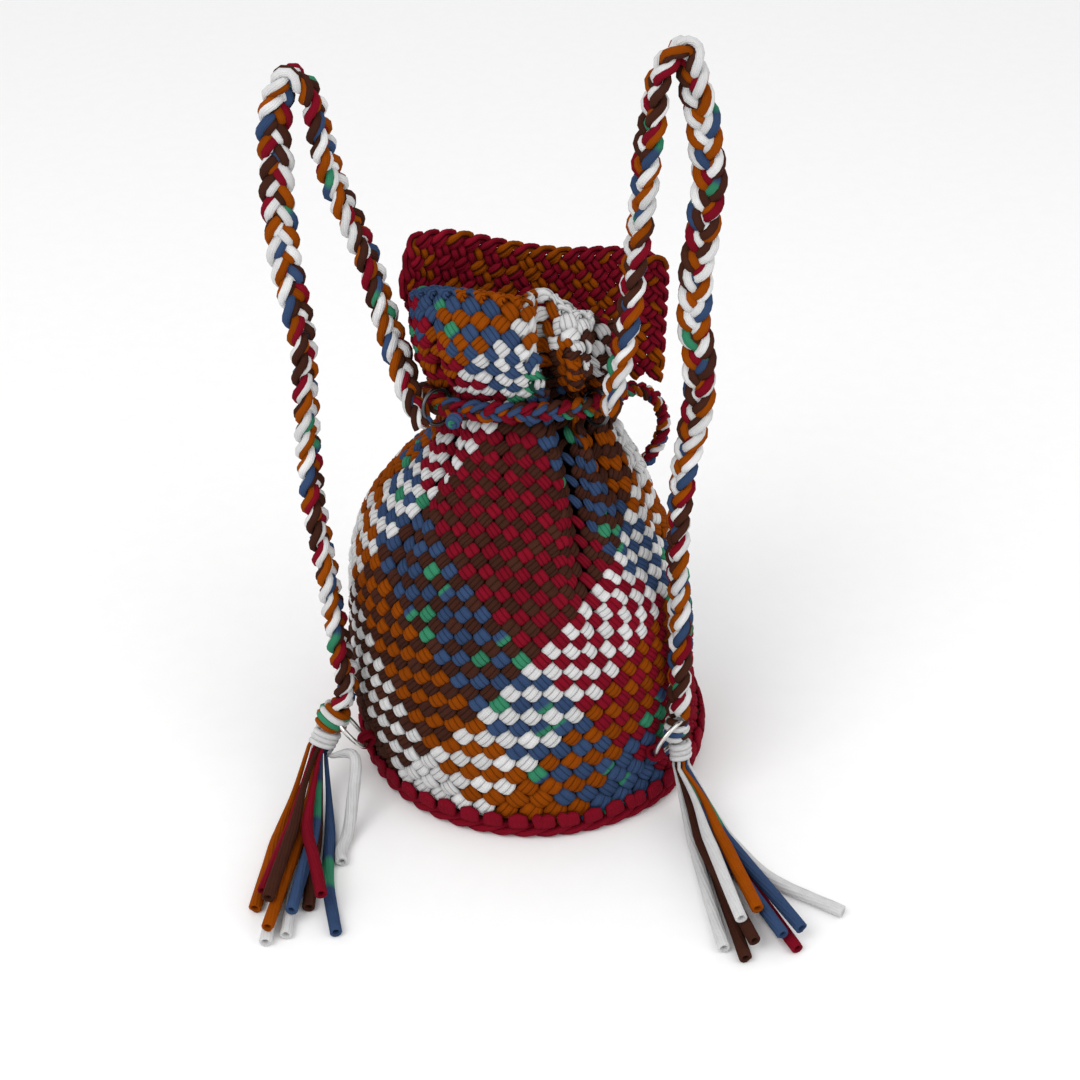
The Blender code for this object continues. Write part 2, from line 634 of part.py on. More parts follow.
def add_strand(name, route, swell, color, group, lowest, count=8):
    """Yarn as a tube that leaves straight, thickens from the binding to its full size and never dips under lowest."""
    rows = np.column_stack([np.asarray(route), swell])
    rows = np.concatenate([rows[:1], along(rows[1:], count - 1)])
    rows[:, 2] = np.maximum(rows[:, 2], lowest)
    curve = bpy.data.curves.new(name, "CURVE")
    curve.dimensions = "3D"
    curve.bevel_depth = YARN / 2
    curve.bevel_resolution = 2
    curve.use_fill_caps = True
    line = curve.splines.new("POLY")
    line.points.add(count - 1)
    for point, row in zip(line.points, rows):
        point.co = (*map(float, row[:3]), 1.0)
        point.radius = float(row[3])
    item = bpy.data.objects.new(name, curve)
    curve.materials.append(make_material(name + "_yarn", color))
    group.objects.link(item)


def strand_slot(start, axis, layer, place):
    """Where a strand leaves the binding: its place runs to the right and its layer upward."""
    wide = unit(np.cross([0.0, 1.0, 0.0], axis))
    wide = wide * np.sign(wide[0])
    deep = np.cross(wide, axis)
    deep = deep * np.sign(deep[2])
    return start + wide * SLOT_PITCH * place + deep * SLOT_LAYER * (layer - 1)


def tassel_moved(side):
    """How far a strap's end has moved from where the tassel was drawn under it."""
    return strap_end(side) - STRAP_ROUTES[side][-1][:3]


def strand_route(side, strand, start, axis):
    """From its slot under the binding, down to the landed row, and on along the floor to its end."""
    layer, place, _, end_x, end_y, bow = strand
    plan = TASSELS[side]
    slot = strand_slot(start, axis, layer, place)
    moved = tassel_moved(side)
    landed = np.array([*(np.array(plan["landing"]) + unit(plan["across"]) * LANDED_PITCH * place), lying(layer)])
    landed[1] -= LAYER_REACH * layer
    landed += moved
    end = np.array([end_x, end_y, lying(layer)]) + moved
    leave = slot + axis * STRAND_STRAIGHT
    bend = leave + (landed - leave) * BEND_SHARE + np.array(BEND_SHIFT) + np.array([0.0, 0.0, BEND_RISE * layer])
    middle = (landed + end) / 2 + np.array([bow, 0.0, 0.0])
    swell = [YARN_IN_BINDING, YARN_IN_BINDING, YARN_AT_BEND, YARN_LANDED, 1.0, 1.0]
    return [slot, leave, bend, landed, middle, end], swell


def build_tassel(side, start, axis, group):
    plan = TASSELS[side]
    for number, strand in enumerate(plan["strands"]):
        route, swell = strand_route(side, strand, start, axis)
        add_strand(f"tassel_{side}_{number + 1}", route, swell, strand[2], group, lying(strand[0]))
    if "stray" in plan:
        color, layer, place, points = plan["stray"]
        slot = strand_slot(start, axis, layer, place)
        route = [slot, slot + axis * STRAND_STRAIGHT, *(points + tassel_moved(side))]
        swell = [YARN_IN_BINDING, YARN_IN_BINDING, YARN_LANDED] + [1.0] * (len(points) - 1)
        add_strand(f"tassel_{side}_{len(plan['strands']) + 1}", route, swell, color, group, lying(0), count=11)


def build_carry_loop(group):
    """Short braid at the right rear, both ends seated on the wall."""
    first, last = (wall_point(math.radians(turn), share * neck_arc()) for turn, share in CARRY_SEATS)
    way = np.linspace(0.0, 1.0, len(CARRY_ROUTE))[:, None]
    path = along(np.array(CARRY_ROUTE) + first * (1 - way) + last * way, CARRY_SECTIONS)
    broad = np.tile([0.0, 1.0, 0.3], (len(path), 1))
    points, faces = tube(braid_rings(path, unit(np.gradient(path, axis=0)), broad, CARRY_LOOP, CARRY_LOOP))
    add_mesh("carry_loop", points, faces, group, make_material("carry_yarn", "blue"))


def build_knot(group):
    """End of the drawstring, tied against it under its left part."""
    middle, out, ahead = drawstring_line(math.radians(KNOT_ANGLE))
    start = middle + out * (DRAWSTRING / 2 + GAP) - np.array([0, 0, KNOT_DROP])
    sizes = 2 * KNOT_RADIUS * np.array([0.6, 0.95, 1.0, 0.6])
    barrel("drawstring_knot", start, out, KNOT_LENGTH, sizes, sizes, group,
           make_material("drawstring_knot_yarn", "blue"), sides=8)


def rim_height(angle):
    return RIM_HEIGHT + RIM_TILT_FRONT * np.cos(angle) + RIM_TILT_RIGHT * np.sin(angle)


def flap_middle(s, t):
    """Sheet between a lower edge outside the rear rim and an upper edge; it leans only above the rim."""
    reach = 2 * GAP + FLAP_THICKNESS / 2
    turn = np.radians(FLAP_FOOT_ANGLES)
    x = (RUFFLE_RIGHT - RUFFLE_LEFT) / 2 - LEAN + ((RUFFLE_RIGHT + RUFFLE_LEFT) / 2 + reach) * np.sin(turn)
    y = (RIM_BACK - RIM_FRONT) / 2 - ((RIM_BACK + RIM_FRONT) / 2 + reach) * np.cos(turn)
    lower = np.array([*zip(x, y, FLAP_FOOT_HEIGHTS), *FLAP_FREE_FOOT]) + [0, 0, RIM_HEIGHT]
    top = TOTAL_HEIGHT - FLAP_THICKNESS / 2
    upper = [(a, b, top - drop) for a, b, drop in FLAP_TOP]
    low = through(FLAP_FOOT_SHARES, lower, s)
    high = through(FLAP_TOP_SHARES, upper, s)
    rim = rim_height(np.interp(s, FLAP_FOOT_SHARES[:len(turn)], turn)) + RIM_CLEARANCE
    z = low[..., 2] + (high[..., 2] - low[..., 2]) * t
    lean = np.clip((z - rim) / (high[..., 2] - rim), 0.0, 1.0)[..., None]
    flat = low[..., :2] + (high[..., :2] - low[..., :2]) * lean
    return np.concatenate([flat, z[..., None]], axis=-1)


def build_flap(group):
    """Panel with the weave raised on both faces."""
    s = np.linspace(0, 1, FLAP_COLUMNS + 1)[None, :] + np.zeros((FLAP_ROWS + 1, 1))
    t = np.linspace(0, 1, FLAP_ROWS + 1)[:, None] + np.zeros((1, FLAP_COLUMNS + 1))
    middle = flap_middle(s, t)
    normal = unit(np.cross(np.gradient(middle, axis=1), np.gradient(middle, axis=0)))
    low = (np.arange(FLAP_COLUMNS + 1)[None, :] + np.arange(FLAP_ROWS + 1)[:, None]) % 2
    half = FLAP_THICKNESS / 2 - FLAP_RELIEF * low
    front = middle + normal * half[..., None]
    back = middle - normal * half[..., None]
    wide, tall = FLAP_COLUMNS + 1, FLAP_ROWS + 1
    points = np.concatenate([front.reshape(-1, 3), back.reshape(-1, 3)])
    skip = wide * tall
    faces = []
    for m in range(FLAP_ROWS):
        for j in range(FLAP_COLUMNS):
            a, b = m * wide + j, m * wide + j + 1
            c, d = b + wide, a + wide
            split = [(a, b, c), (a, c, d)] if (j + m) % 2 else [(a, b, d), (b, c, d)]
            faces += split
            faces += [tuple(skip + v for v in reversed(face)) for face in split]
    border = [j for j in range(wide)] + [m * wide + wide - 1 for m in range(1, tall)]
    border += [(tall - 1) * wide + j for j in range(wide - 2, -1, -1)] + [m * wide for m in range(tall - 2, 0, -1)]
    for a, b in zip(border, border[1:] + border[:1]):
        faces.append((b, a, a + skip, b + skip))
    add_mesh("flap", points, faces, group, make_material("flap_yarn", "orange"))


def main():
    clear_scene()
    group = make_collection("woven_backpack")
    cutters = make_collection("cutters")
    build_base(group)
    build_wall(group)
    build_drawstring(group)
    build_knot(group)
    build_flap(group)
    build_carry_loop(group)
    ways = build_neck_rings(group, cutters)
    for side in ("left", "right"):
        build_strap(side, group, ways[side])
        start, axis = build_strap_end(side, group, cutters)
        build_tassel(side, start, axis, group)


main()
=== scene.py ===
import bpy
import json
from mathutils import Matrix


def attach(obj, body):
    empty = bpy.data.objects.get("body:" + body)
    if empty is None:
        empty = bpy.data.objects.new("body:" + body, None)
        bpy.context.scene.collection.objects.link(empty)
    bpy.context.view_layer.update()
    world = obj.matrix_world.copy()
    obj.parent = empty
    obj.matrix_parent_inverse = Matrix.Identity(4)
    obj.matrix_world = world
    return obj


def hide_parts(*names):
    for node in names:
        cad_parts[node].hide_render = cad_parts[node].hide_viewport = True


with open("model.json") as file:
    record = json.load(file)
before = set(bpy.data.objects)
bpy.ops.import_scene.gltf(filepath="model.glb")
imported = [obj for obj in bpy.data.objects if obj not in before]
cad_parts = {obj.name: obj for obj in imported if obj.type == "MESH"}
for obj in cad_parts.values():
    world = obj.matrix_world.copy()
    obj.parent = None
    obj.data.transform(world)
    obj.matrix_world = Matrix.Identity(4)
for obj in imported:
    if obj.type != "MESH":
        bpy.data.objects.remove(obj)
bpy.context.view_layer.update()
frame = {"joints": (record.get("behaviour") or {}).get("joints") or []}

import json
import math

import bpy
import mathutils
import numpy as np

bl_info = {
    "name": "Woven bucket backpack",
    "version": (1, 0, 0),
    "blender": (4, 5, 0),
    "location": "View3D > Sidebar > Backpack",
    "description": "Adds the yarns of a hand-woven backpack over its CAD frame, with a stage to look at it",
    "category": "Add Mesh",
}

# Sizes and routes of the CAD model, in metres
GAP = 0.0003
BASE_DIAMETER = 0.2286
BASE_THICKNESS = 0.007
EDGE_WIDTH = 0.011
EDGE_HEIGHT = 0.010
WALL_INSET = 0.002
BODY_SWELL = 0.001
SHOULDER_HEIGHT = 0.148
LEAN = 0.007
NECK_HEIGHT = 0.259
NECK_TILT = 0.013
NECK_LEFT = 0.051
NECK_RIGHT = 0.053
NECK_FRONT = 0.044
NECK_BACK = 0.038
RIM_HEIGHT = 0.306
RIM_TILT_FRONT = 0.031
RIM_TILT_RIGHT = -0.012
RUFFLE_LEFT = 0.067
RUFFLE_RIGHT = 0.063
RUFFLE_FRONT = 0.058
RIM_FRONT = 0.034
RIM_BACK = 0.040

# Pleats: angle from the front in degrees, then depth, each at the shoulder, neck, ruffle and rim; half width
PLEATS = [
    ((30, 28, 19, 17), (0.009, 0.012, 0.025, 0.014), 11),
    ((-50, -55, -52, -50), (0.004, 0.0075, 0.003, 0.001), 10),
    ((54, 46, 50, 52), (0.003, 0.0075, 0.009, 0.006), 10),
    ((-84, -86, -86, -88), (0.003, 0.005, 0.005, 0.003), 9),
    ((-12, -14, -16, -16), (0.001, 0.002, 0.001, 0.0), 9),
    ((78, 80, 80, 80), (0.004, 0.006, 0.007, 0.004), 9),
    ((104, 106, 108, 108), (0.003, 0.006, 0.007, 0.004), 9),
    ((134, 134, 136, 136), (0.004, 0.007, 0.008, 0.005), 9),
    ((164, 164, 162, 162), (0.003, 0.005, 0.004, 0.002), 9),
    ((-164, -164, -162, -162), (0.003, 0.005, 0.004, 0.002), 9),
    ((-136, -136, -138, -138), (0.004, 0.007, 0.008, 0.005), 9),
    ((-110, -110, -112, -112), (0.003, 0.006, 0.006, 0.004), 9),
]

# Drawstring, its knot and the rings that hang on it
DRAWSTRING = 0.012
NECK_RING_RADIUS = 0.0105
NECK_RING_WIRE = 0.0025
KNOT_ANGLE = -36
KNOT_RADIUS = 0.0065
KNOT_LENGTH = 0.009
KNOT_DROP = 0.002

# Flap
TOTAL_HEIGHT = 0.3556
FLAP_THICKNESS = 0.006
RIM_CLEARANCE = 0.001
# Its foot follows the rear rim at these angles and heights, and goes on to its free part's points
FLAP_FOOT_ANGLES = [-94.0, -115.0, -138.0, -160.0, -180.0]
FLAP_FOOT_HEIGHTS = [0.318, 0.301, 0.283, 0.269, 0.258]
FLAP_FREE_FOOT = [(0.0490, 0.048, 0.246), (0.0810, 0.051, 0.232)]
FLAP_FOOT_SHARES = [0.0, 0.13, 0.26, 0.39, 0.5, 0.82, 1.0]
# Its upper edge from left to right as x, y and the drop below the bag's full height
FLAP_TOP = [
    (-0.0720, 0.022, 0.0), (-0.0480, 0.034, 0.006), (-0.0170, 0.0437, 0.017), (0.0180, 0.0437, 0.022),
    (0.0530, 0.044, 0.022), (0.0810, 0.036, 0.023),
]
FLAP_TOP_SHARES = [0.0, 0.16, 0.36, 0.59, 0.82, 1.0]

# Straps: a flat braid each
STRAP_WIDTH = 0.020
STRAP_THICKNESS = 0.013

# Base rings, the yarn loops that tie them to the wall, and what ends the straps
BASE_RING_RADIUS = 0.014
BASE_RING_WIRE = 0.003
LOOP_SHARE = 0.62
LOOP_LENGTH = 0.0085
STRAP_KNOT_LENGTH = 0.018
STRAP_KNOT_RADIUS = 0.0115
BINDING_LENGTH = 0.012
BINDING_WIDTH = 0.0195
BINDING_DEPTH = 0.012

# Tassel strands
YARN = 0.0078
YARN_IN_BINDING = 0.33
SLOT_PITCH = 0.0029
SLOT_LAYER = 0.0036
LANDED_PITCH = 0.0080
LAYER_HEIGHT = 0.0082
LAYER_REACH = 0.006
STRAND_STRAIGHT = 0.006
BEND_SHARE = 0.55
BEND_SHIFT = (0.0, 0.004, -0.004)
BEND_RISE = 0.003
YARN_AT_BEND = 0.52
YARN_LANDED = 0.92

# Carry loop
CARRY_LOOP = 0.0095
CARRY_SEATS = [(123.3, 0.91), (111.4, 0.69)]
CARRY_ROUTE = [
    (0.0046, 0.0042, 0.0042), (0.0130, 0.0044, 0.0156), (0.0193, 0.0046, 0.0189), (0.0231, 0.0047, 0.0163),
    (0.0230, 0.0049, 0.0097), (0.0178, 0.0041, 0.0040), (0.0092, 0.0023, 0.0004), (0.0018, 0.0004, 0.0008),
]

# Strap routes from the neck ring over the top and down to the base: x, y, z and the turn of the broad side in degrees
STRAP_ROUTES = {
    "left": [
        (-0.0632, -0.042, 0.258, -50), (-0.0700, -0.031, 0.269, -45), (-0.0790, -0.014, 0.291, -35),
        (-0.0865, -0.005, 0.312, -25), (-0.0920, 0.000, 0.333, -20), (-0.0990, 0.002, 0.356, -20),
        (-0.1080, 0.003, 0.379, -20), (-0.1150, 0.003, 0.402, -20), (-0.1190, 0.002, 0.426, -15),
        (-0.1235, 0.000, 0.448, 0), (-0.1320, -0.003, 0.457, 20), (-0.1400, -0.005, 0.441, 60),
        (-0.1425, -0.008, 0.408, 85), (-0.1415, -0.015, 0.364, 75), (-0.1380, -0.019, 0.336, 50),
        (-0.1330, -0.024, 0.308, 30), (-0.1325, -0.029, 0.280, 20), (-0.1325, -0.036, 0.240, 20),
        (-0.1305, -0.043, 0.200, 15), (-0.1265, -0.048, 0.172, 10), (-0.1225, -0.054, 0.138, 10),
        (-0.1190, -0.058, 0.105, 15), (-0.1160, -0.060, 0.082, 20), (-0.1200, -0.061, 0.066, 20),
    ],
    "right": [
        (0.0410, -0.053, 0.261, 50), (0.0450, -0.050, 0.275, 40), (0.0480, -0.044, 0.290, 30),
        (0.0520, -0.037, 0.305, 25), (0.0555, -0.029, 0.326, 20), (0.0585, -0.022, 0.357, 20),
        (0.0620, -0.017, 0.388, 25), (0.0635, -0.014, 0.412, 30), (0.0665, -0.012, 0.438, 25),
        (0.0725, -0.010, 0.466, 0), (0.0815, -0.010, 0.476, -20), (0.0890, -0.013, 0.452, -60),
        (0.0955, -0.016, 0.424, -85), (0.0980, -0.020, 0.402, -85), (0.0955, -0.026, 0.378, -80),
        (0.0925, -0.031, 0.350, -80), (0.0925, -0.034, 0.322, -80), (0.0960, -0.038, 0.298, -75),
        (0.0960, -0.042, 0.270, -50), (0.0910, -0.047, 0.244, -30), (0.0880, -0.051, 0.218, -20),
        (0.0870, -0.056, 0.180, -15), (0.0895, -0.063, 0.136, -15), (0.0905, -0.070, 0.102, -20),
        (0.0905, -0.073, 0.086, -20), (0.0905, -0.075, 0.070, -20),
    ],
}

# Base rings: the angle from the front and the height where the yarn loop meets the wall
BASE_RING_SEATS = {"left": (-60, 0.036), "right": (45, 0.045)}

# Direction in which the strap's knot, its binding and the strands leave the strap
STRAP_ENDS = {"left": (-0.46, -0.215, -0.86), "right": (0.08, -0.20, -0.98)}

# Tassels: where the strands reach the floor and the direction of their row; then for each strand its layer, its place
# in that layer's row, its yarn, where it ends (x, y) and how far its middle bows to the right of straight.
# A strand that strays from the others has its own route instead.
TASSELS = {
    "left": {
        "landing": (-0.1430, -0.112), "across": (1.0, 0.06),
        "strands": [
            (0, -2, "orange", -0.1660, -0.178, 0), (0, -1, "white", -0.1565, -0.206, 0),
            (0, 0, "white", -0.1450, -0.200, 0), (0, 1, "brown", -0.1340, -0.177, 0),
            (0, 2, "blue", -0.1160, -0.198, -0.003),
            (1, -1, "crimson", -0.1610, -0.172, 0), (1, 0, "orange", -0.1550, -0.202, 0),
            (1, 1, "blue", -0.1425, -0.188, 0),
            (2, -0.5, "brown", -0.1560, -0.186, 0), (2, 0.5, "crimson", -0.1250, -0.183, 0),
        ],
        "stray": ("white", 1, 2.6, [(-0.1125, -0.082, 0.042), (-0.1130, -0.099, 0.020), (-0.1160, -0.116, 0.0045),
                                    (-0.1185, -0.128, 0.0045), (-0.1175, -0.138, 0.0045)]),
    },
    "right": {
        "landing": (0.1110, -0.120), "across": (1.0, 0.26),
        "strands": [
            (0, -1.5, "white", 0.1120, -0.211, 0), (0, -0.5, "brown", 0.1240, -0.219, 0),
            (0, 0.5, "crimson", 0.1550, -0.211, 0), (0, 1.5, "white", 0.1850, -0.181, -0.012),
            (1, -1, "brown", 0.1290, -0.213, 0), (1, 0, "blue", 0.1460, -0.208, 0),
            (1, 1, "blue", 0.1575, -0.203, 0),
            (2, -0.5, "white", 0.1220, -0.203, 0), (2, 0.5, "orange", 0.1320, -0.195, 0),
        ],
    },
}


# The wall's weave. A strand that climbs to the left is "falling" and one that climbs to the right is "rising".
WALL_STRANDS = 48
ROW_STOPS = [0, 8, 16, 24, 32, 38, 42, 46, 51, 53, 64]
ROW_HEIGHTS = [0.0103, 0.0089, 0.0069, 0.0055, 0.0043, 0.0053, 0.0056, 0.0036, 0.0031, 0.0060, 0.0060]
TWIST_STOPS = [0, 11, 16, 20, 26, 34, 40, 46, 52]
TWIST = [-0.50, 0.15, 0.44, 0.61, 0.57, -0.02, 0.71, 0.79, 0.71]
FRONT_WIDENING = ([0.0, 0.06, 0.14, 0.20, 0.25, 0.265, 0.285, 0.31],
                  [0.064, -0.057, -0.143, -0.038, 0.145, 0.26, 0.341, 0.361])
PLEAT_STRETCH = ([0.16, 0.21, 0.255, 0.275], [0.82, 1.81, 1.81, 0.82])
# How much lower than at the front a row runs at both sides, and how much lower still at the right than at the left
SAG_STOPS = [0, 12, 20, 28, 38]
SAG = [0.0, 0.033, 0.039, 0.025, 0.0]
SAG_RIGHT = [0.0, 0.002, 0.007, 0.012, 0.002]
# Where a strand has its sections, in rows from a crossing that it is on top of; the period is two rows
OVER = [-0.46, -0.36, -0.22, -0.07, 0.07, 0.22, 0.36, 0.46]
UNDER = [0.80, 1.20]
# How far inside the CAD face a strand runs, how far it waves, and half its height
WALL_DEPTH = 0.0045
WALL_WAVE = 0.0017
WALL_YARN = 0.0021
# Share of its room that a strand's width takes where it dives and what it gains on top, and the same for its height
STRAND_WIDE = (0.84, 0.20)
STRAND_HIGH = (0.76, 0.28)
STRAND_HALF_WIDTHS = (0.0016, 0.0078)
# How uneven in girth the strands of a weave are
UNEVEN = 0.05
# Wave at which a strand starts to swell and how much of it the swelling takes, and the power that squares the wave
SWELL_FROM = 0.10
SWELL_OVER = 0.60
SQUARENESS = 0.7
# Painted shade by the wave, darker where a strand dives, and by the height in its section, darker down its sides
DIVE_SHADE = ([-0.4, 0.50], [0.30, 1.0])
SIDE_SHADE = ([0.0, 0.7], [0.35, 1.0])
# Radius that the strands roll inward with at the rim, and how many rows of them do
RIM_ROLL = 0.0050
RIM_ROWS = 2.5
# Runs of strand colours round the bag: how many, then which
FALLING_BANDS = [
    (3, "orange"), (5, "blue"), (11, "crimson"), (5, "blue"), (4, "orange"), (4, "white"), (6, "crimson"),
    (5, "brown"), (4, "white"), (1, "orange"),
]
RISING_BANDS = [
    (3, "orange"), (4, "blue"), (4, "crimson"), (4, "brown"), (4, "blue"), (4, "orange"), (5, "white"),
    (14, "brown"), (5, "white"), (1, "orange"),
]

# The flap's weave: half cells across it and down its deepest part, how deep that is, and sections to a half cell
FLAP_CELLS = 32
FLAP_LINES = 16
FLAP_DEEP = 0.098
FLAP_SECTIONS = 4
# How far the weave fills the sheet across and down before its edge evens it, the sheet's share that it takes, and
# how much its corners are rounded across and down
FLAP_FILL = (1.03, 1.06)
FLAP_SHARE = (0.492, 0.488)
FLAP_CORNER = (0.012, 0.0288)
# Wave of its yarns, their width as a share of their room at a crossing's foot and what they gain on top, their width
# along the edges, and half their height with its gain
FLAP_WAVE = 0.0016
FLAP_WIDE = (0.94, 0.16)
FLAP_EDGE = 0.82
FLAP_HIGH = (0.0017, 0.0006)
# Painted shade on its yarns by the size of their wave: darker where they dive, a little lighter on top
FLAP_SHADE = ([0.2, 0.8], [0.75, 1.08])
FLAP_TONES = [
    ("crimson", "orange"), ("crimson", "crimson"), ("crimson", "crimson"), ("orange", "crimson"),
    ("crimson", "crimson"), ("crimson", "crimson"), ("orange", "orange"),
]

# Base: space between the coil's turns; the plait's yarn, its reach out and up, its turns and how far it is raised
COIL_PITCH = 0.0078
PLAIT_YARN = 0.0027
PLAIT_REACH = (0.0028, 0.0027)
PLAIT_TURNS = 16
PLAIT_RAISED = 0.0004
# Stitches: length, then half width and half height at an end and what the middle gains
STITCH_LENGTH = 0.0096
STITCH_WIDE = (0.0006, 0.0061)
STITCH_HIGH = (0.0006, 0.0020)

# Colours of the yarns, linear
YARNS = {
    "crimson": (0.165, 0.004, 0.013),
    "brown": (0.046, 0.0155, 0.0095),
    "orange": (0.225, 0.046, 0.001),
    "blue": (0.031, 0.058, 0.128),
    "green": (0.033, 0.195, 0.105),
    "white": (0.57, 0.57, 0.57),
}

# How much yarns differ in tone and drift along themselves; waves are in radians a metre. Blue yarn is green where the
# sum of its two waves is above a level, and the last number is how sharply it turns.
TONE_SPREAD = 0.06
TONE_DRIFT = 0.05
DRIFT_WAVE = 31
GREEN_WAVES = (97, 61)
GREEN_FROM = 0.95
GREEN_EDGE = 22

STRAP_STRANDS = [("white", "crimson", "orange"), ("brown", "blue", "white"), ("white", "orange", "brown")]
DRAWSTRING_STRANDS = [("crimson", "crimson"), ("blue", "brown"), ("orange", "blue")]
CARRY_STRANDS = [("blue", "crimson"), ("crimson", "brown"), ("orange", "white")]
# Length of a braid's period in widths of the braid, and the twist of its yarns about each other in radians a metre
BRAID_PERIOD = 1.75
BRAID_TWIST = 62.0
# Across a braid and in its thickness: how far a strand sways and its size, as shares of the braid's, then how far its
# yarns lie from its middle and half their size, as shares of the strand's
BRAID_SWAY = (0.28, 0.22)
BRAID_STRAND = (0.23, 0.26)
BRAID_APART = (0.50, 0.36)
BRAID_YARN = (0.60, 0.74)
# Where each strap's braid starts, and its girth at distances from there
STRAP_START = {"left": 0.0, "right": 0.009}
STRAP_TAPER = ([0.0, 0.012, 0.045], [0.66, 0.74, 1.0])
# Knots and bindings that end the straps: yarns, girth as a share of the CAD solid's, turns and half heights of a yarn
KNOT_YARNS = {"left": ["orange", "white", "green", "orange"], "right": ["brown", "white", "blue", "white"]}
KNOT_SHARE = {"left": 0.9, "right": 0.6}
KNOT_TURNS = 4
KNOT_YARN = (0.0026, 0.0030)
BINDING_SHARE = {"left": 0.92, "right": 0.74}
BINDING_TURNS = 3
BINDING_YARN = 0.0019
BINDING_INSET = 0.0018

CAMERA_PLACE = (0.0045, -1.051, 0.851)
CAMERA_PITCH = 33.7
CAMERA_LENS = 66.67


def through(knots, rows, where):
    """Cubic curve through rows, whose slope at each knot is that of the chord between its neighbours."""
    knots = np.asarray(knots, float)
    rows = np.asarray(rows, float)
    slope = np.gradient(rows, knots, axis=0)
    where = np.clip(where, knots[0], knots[-1])
    k = np.clip(np.searchsorted(knots, where, side="right") - 1, 0, len(knots) - 2)
    span = knots[k + 1] - knots[k]
    f = ((where - knots[k]) / span)[..., None]
    span = span[..., None]
    first = (1 + 2 * f) * (1 - f) ** 2 * rows[k] + f * (1 - f) ** 2 * span * slope[k]
    return first + f * f * (3 - 2 * f) * rows[k + 1] - f * f * (1 - f) * span * slope[k + 1]


def along(points, count):
    """Points at even steps on a smooth curve through the route's own points."""
    points = np.asarray(points, float)
    steps = np.linalg.norm(np.diff(points[:, :3], axis=0), axis=1)
    knots = np.concatenate([[0.0], np.cumsum(steps)])
    return through(knots, points, np.linspace(0.0, knots[-1], count))


def unit(vector):
    """Vectors of length one in the same directions."""
    vector = np.asarray(vector, float)
    return vector / np.linalg.norm(vector, axis=-1, keepdims=True)


def wall_levels():
    """Envelope rows: height, reach to left, right, front and back, tilt to the front and to the right."""
    foot = EDGE_HEIGHT + GAP
    base = BASE_DIAMETER / 2 - WALL_INSET
    body = base + BODY_SWELL
    above = NECK_HEIGHT - SHOULDER_HEIGHT
    ruffle = RIM_HEIGHT - NECK_HEIGHT
    rows = np.array([
        (foot, base - LEAN, base + LEAN, base, base, 0, 0),
        (0.35 * SHOULDER_HEIGHT, body, body, body, body, 0, 0),
        (0.70 * SHOULDER_HEIGHT, body - 0.001, body - 0.003, body - 0.001, body - 0.002, 0, 0),
        (SHOULDER_HEIGHT, body - 0.004, body - 0.013, body - 0.007, body - 0.008, 0, 0),
        (SHOULDER_HEIGHT + 0.26 * above, body - 0.014, body - 0.026, body - 0.018, body - 0.019, 0.001, 0),
        (SHOULDER_HEIGHT + 0.52 * above, body - 0.034, body - 0.036, body - 0.035, body - 0.037, 0.003, 0),
        (SHOULDER_HEIGHT + 0.76 * above, NECK_LEFT + 0.006, NECK_RIGHT + 0.010, NECK_FRONT + 0.013,
         NECK_BACK + 0.014, 0.008, 0.001),
        (NECK_HEIGHT, NECK_LEFT, NECK_RIGHT, NECK_FRONT, NECK_BACK, NECK_TILT, 0.001),
        (NECK_HEIGHT + 0.36 * ruffle, RUFFLE_LEFT - 0.006, RUFFLE_RIGHT - 0.004, RUFFLE_FRONT - 0.005,
         RIM_BACK - 0.001, NECK_TILT + 0.001, -0.004),
        (NECK_HEIGHT + 0.72 * ruffle, RUFFLE_LEFT - 0.001, RUFFLE_RIGHT, RUFFLE_FRONT, RIM_BACK, 0.021, -0.009),
        (RIM_HEIGHT, RUFFLE_LEFT, RUFFLE_RIGHT, RIM_FRONT, RIM_BACK, RIM_TILT_FRONT, RIM_TILT_RIGHT),
    ])
    return rows + LEAN * np.array([0, 1, -1, 0, 0, 0, 0])


def wall_knots(levels):
    """Arc length of the mean outline at each level."""
    reach = levels[:, 1:5].mean(axis=1)
    steps = np.hypot(np.diff(levels[:, 0]), np.diff(reach))
    return np.concatenate([[0.0], np.cumsum(steps)])


LEVELS = wall_levels()
KNOTS = wall_knots(LEVELS)
NECK_ARC = KNOTS[7]


def pleat_depth(angle, arc):
    """Sum of the pleats: each is a squared cosine across its width, and fades out down the shoulder."""
    stops = KNOTS[[2, 5, 7, 9, 10]]
    total = np.zeros(np.broadcast(angle, arc).shape)
    for angles, depths, width in PLEATS:
        middle = np.interp(arc, stops, [2 * angles[0] - angles[1], *angles])
        depth = np.interp(arc, stops, [0.0, *depths])
        off = (angle - np.radians(middle) + math.pi) % (2 * math.pi) - math.pi
        off = np.clip(off / math.radians(width), -1, 1)
        total += depth * np.cos(off * math.pi / 2) ** 2
    return total


def wall_point(angle, arc, pleated=True):
    """Point of the wall at an angle from the front and an arc length above the foot.

    Each level is an ellipse about its own middle, less the pleats, and tilts by a cosine and a sine of the angle.
    """
    row = through(KNOTS, LEVELS, arc)
    height, left, right, front, back, tilt_front, tilt_right = (row[..., i] for i in range(7))
    reach = pleat_depth(angle, arc) if pleated else 0.0
    x = (right - left) / 2 + ((right + left) / 2 - reach) * np.sin(angle)
    y = (back - front) / 2 - ((back + front) / 2 - reach) * np.cos(angle)
    z = height + tilt_front * np.cos(angle) + tilt_right * np.sin(angle)
    return np.stack(np.broadcast_arrays(x, y, z), axis=-1)


def arc_at(height):
    """Arc length of a height on the body, where the wall is nearly upright."""
    return float(np.interp(height, LEVELS[:, 0], KNOTS))


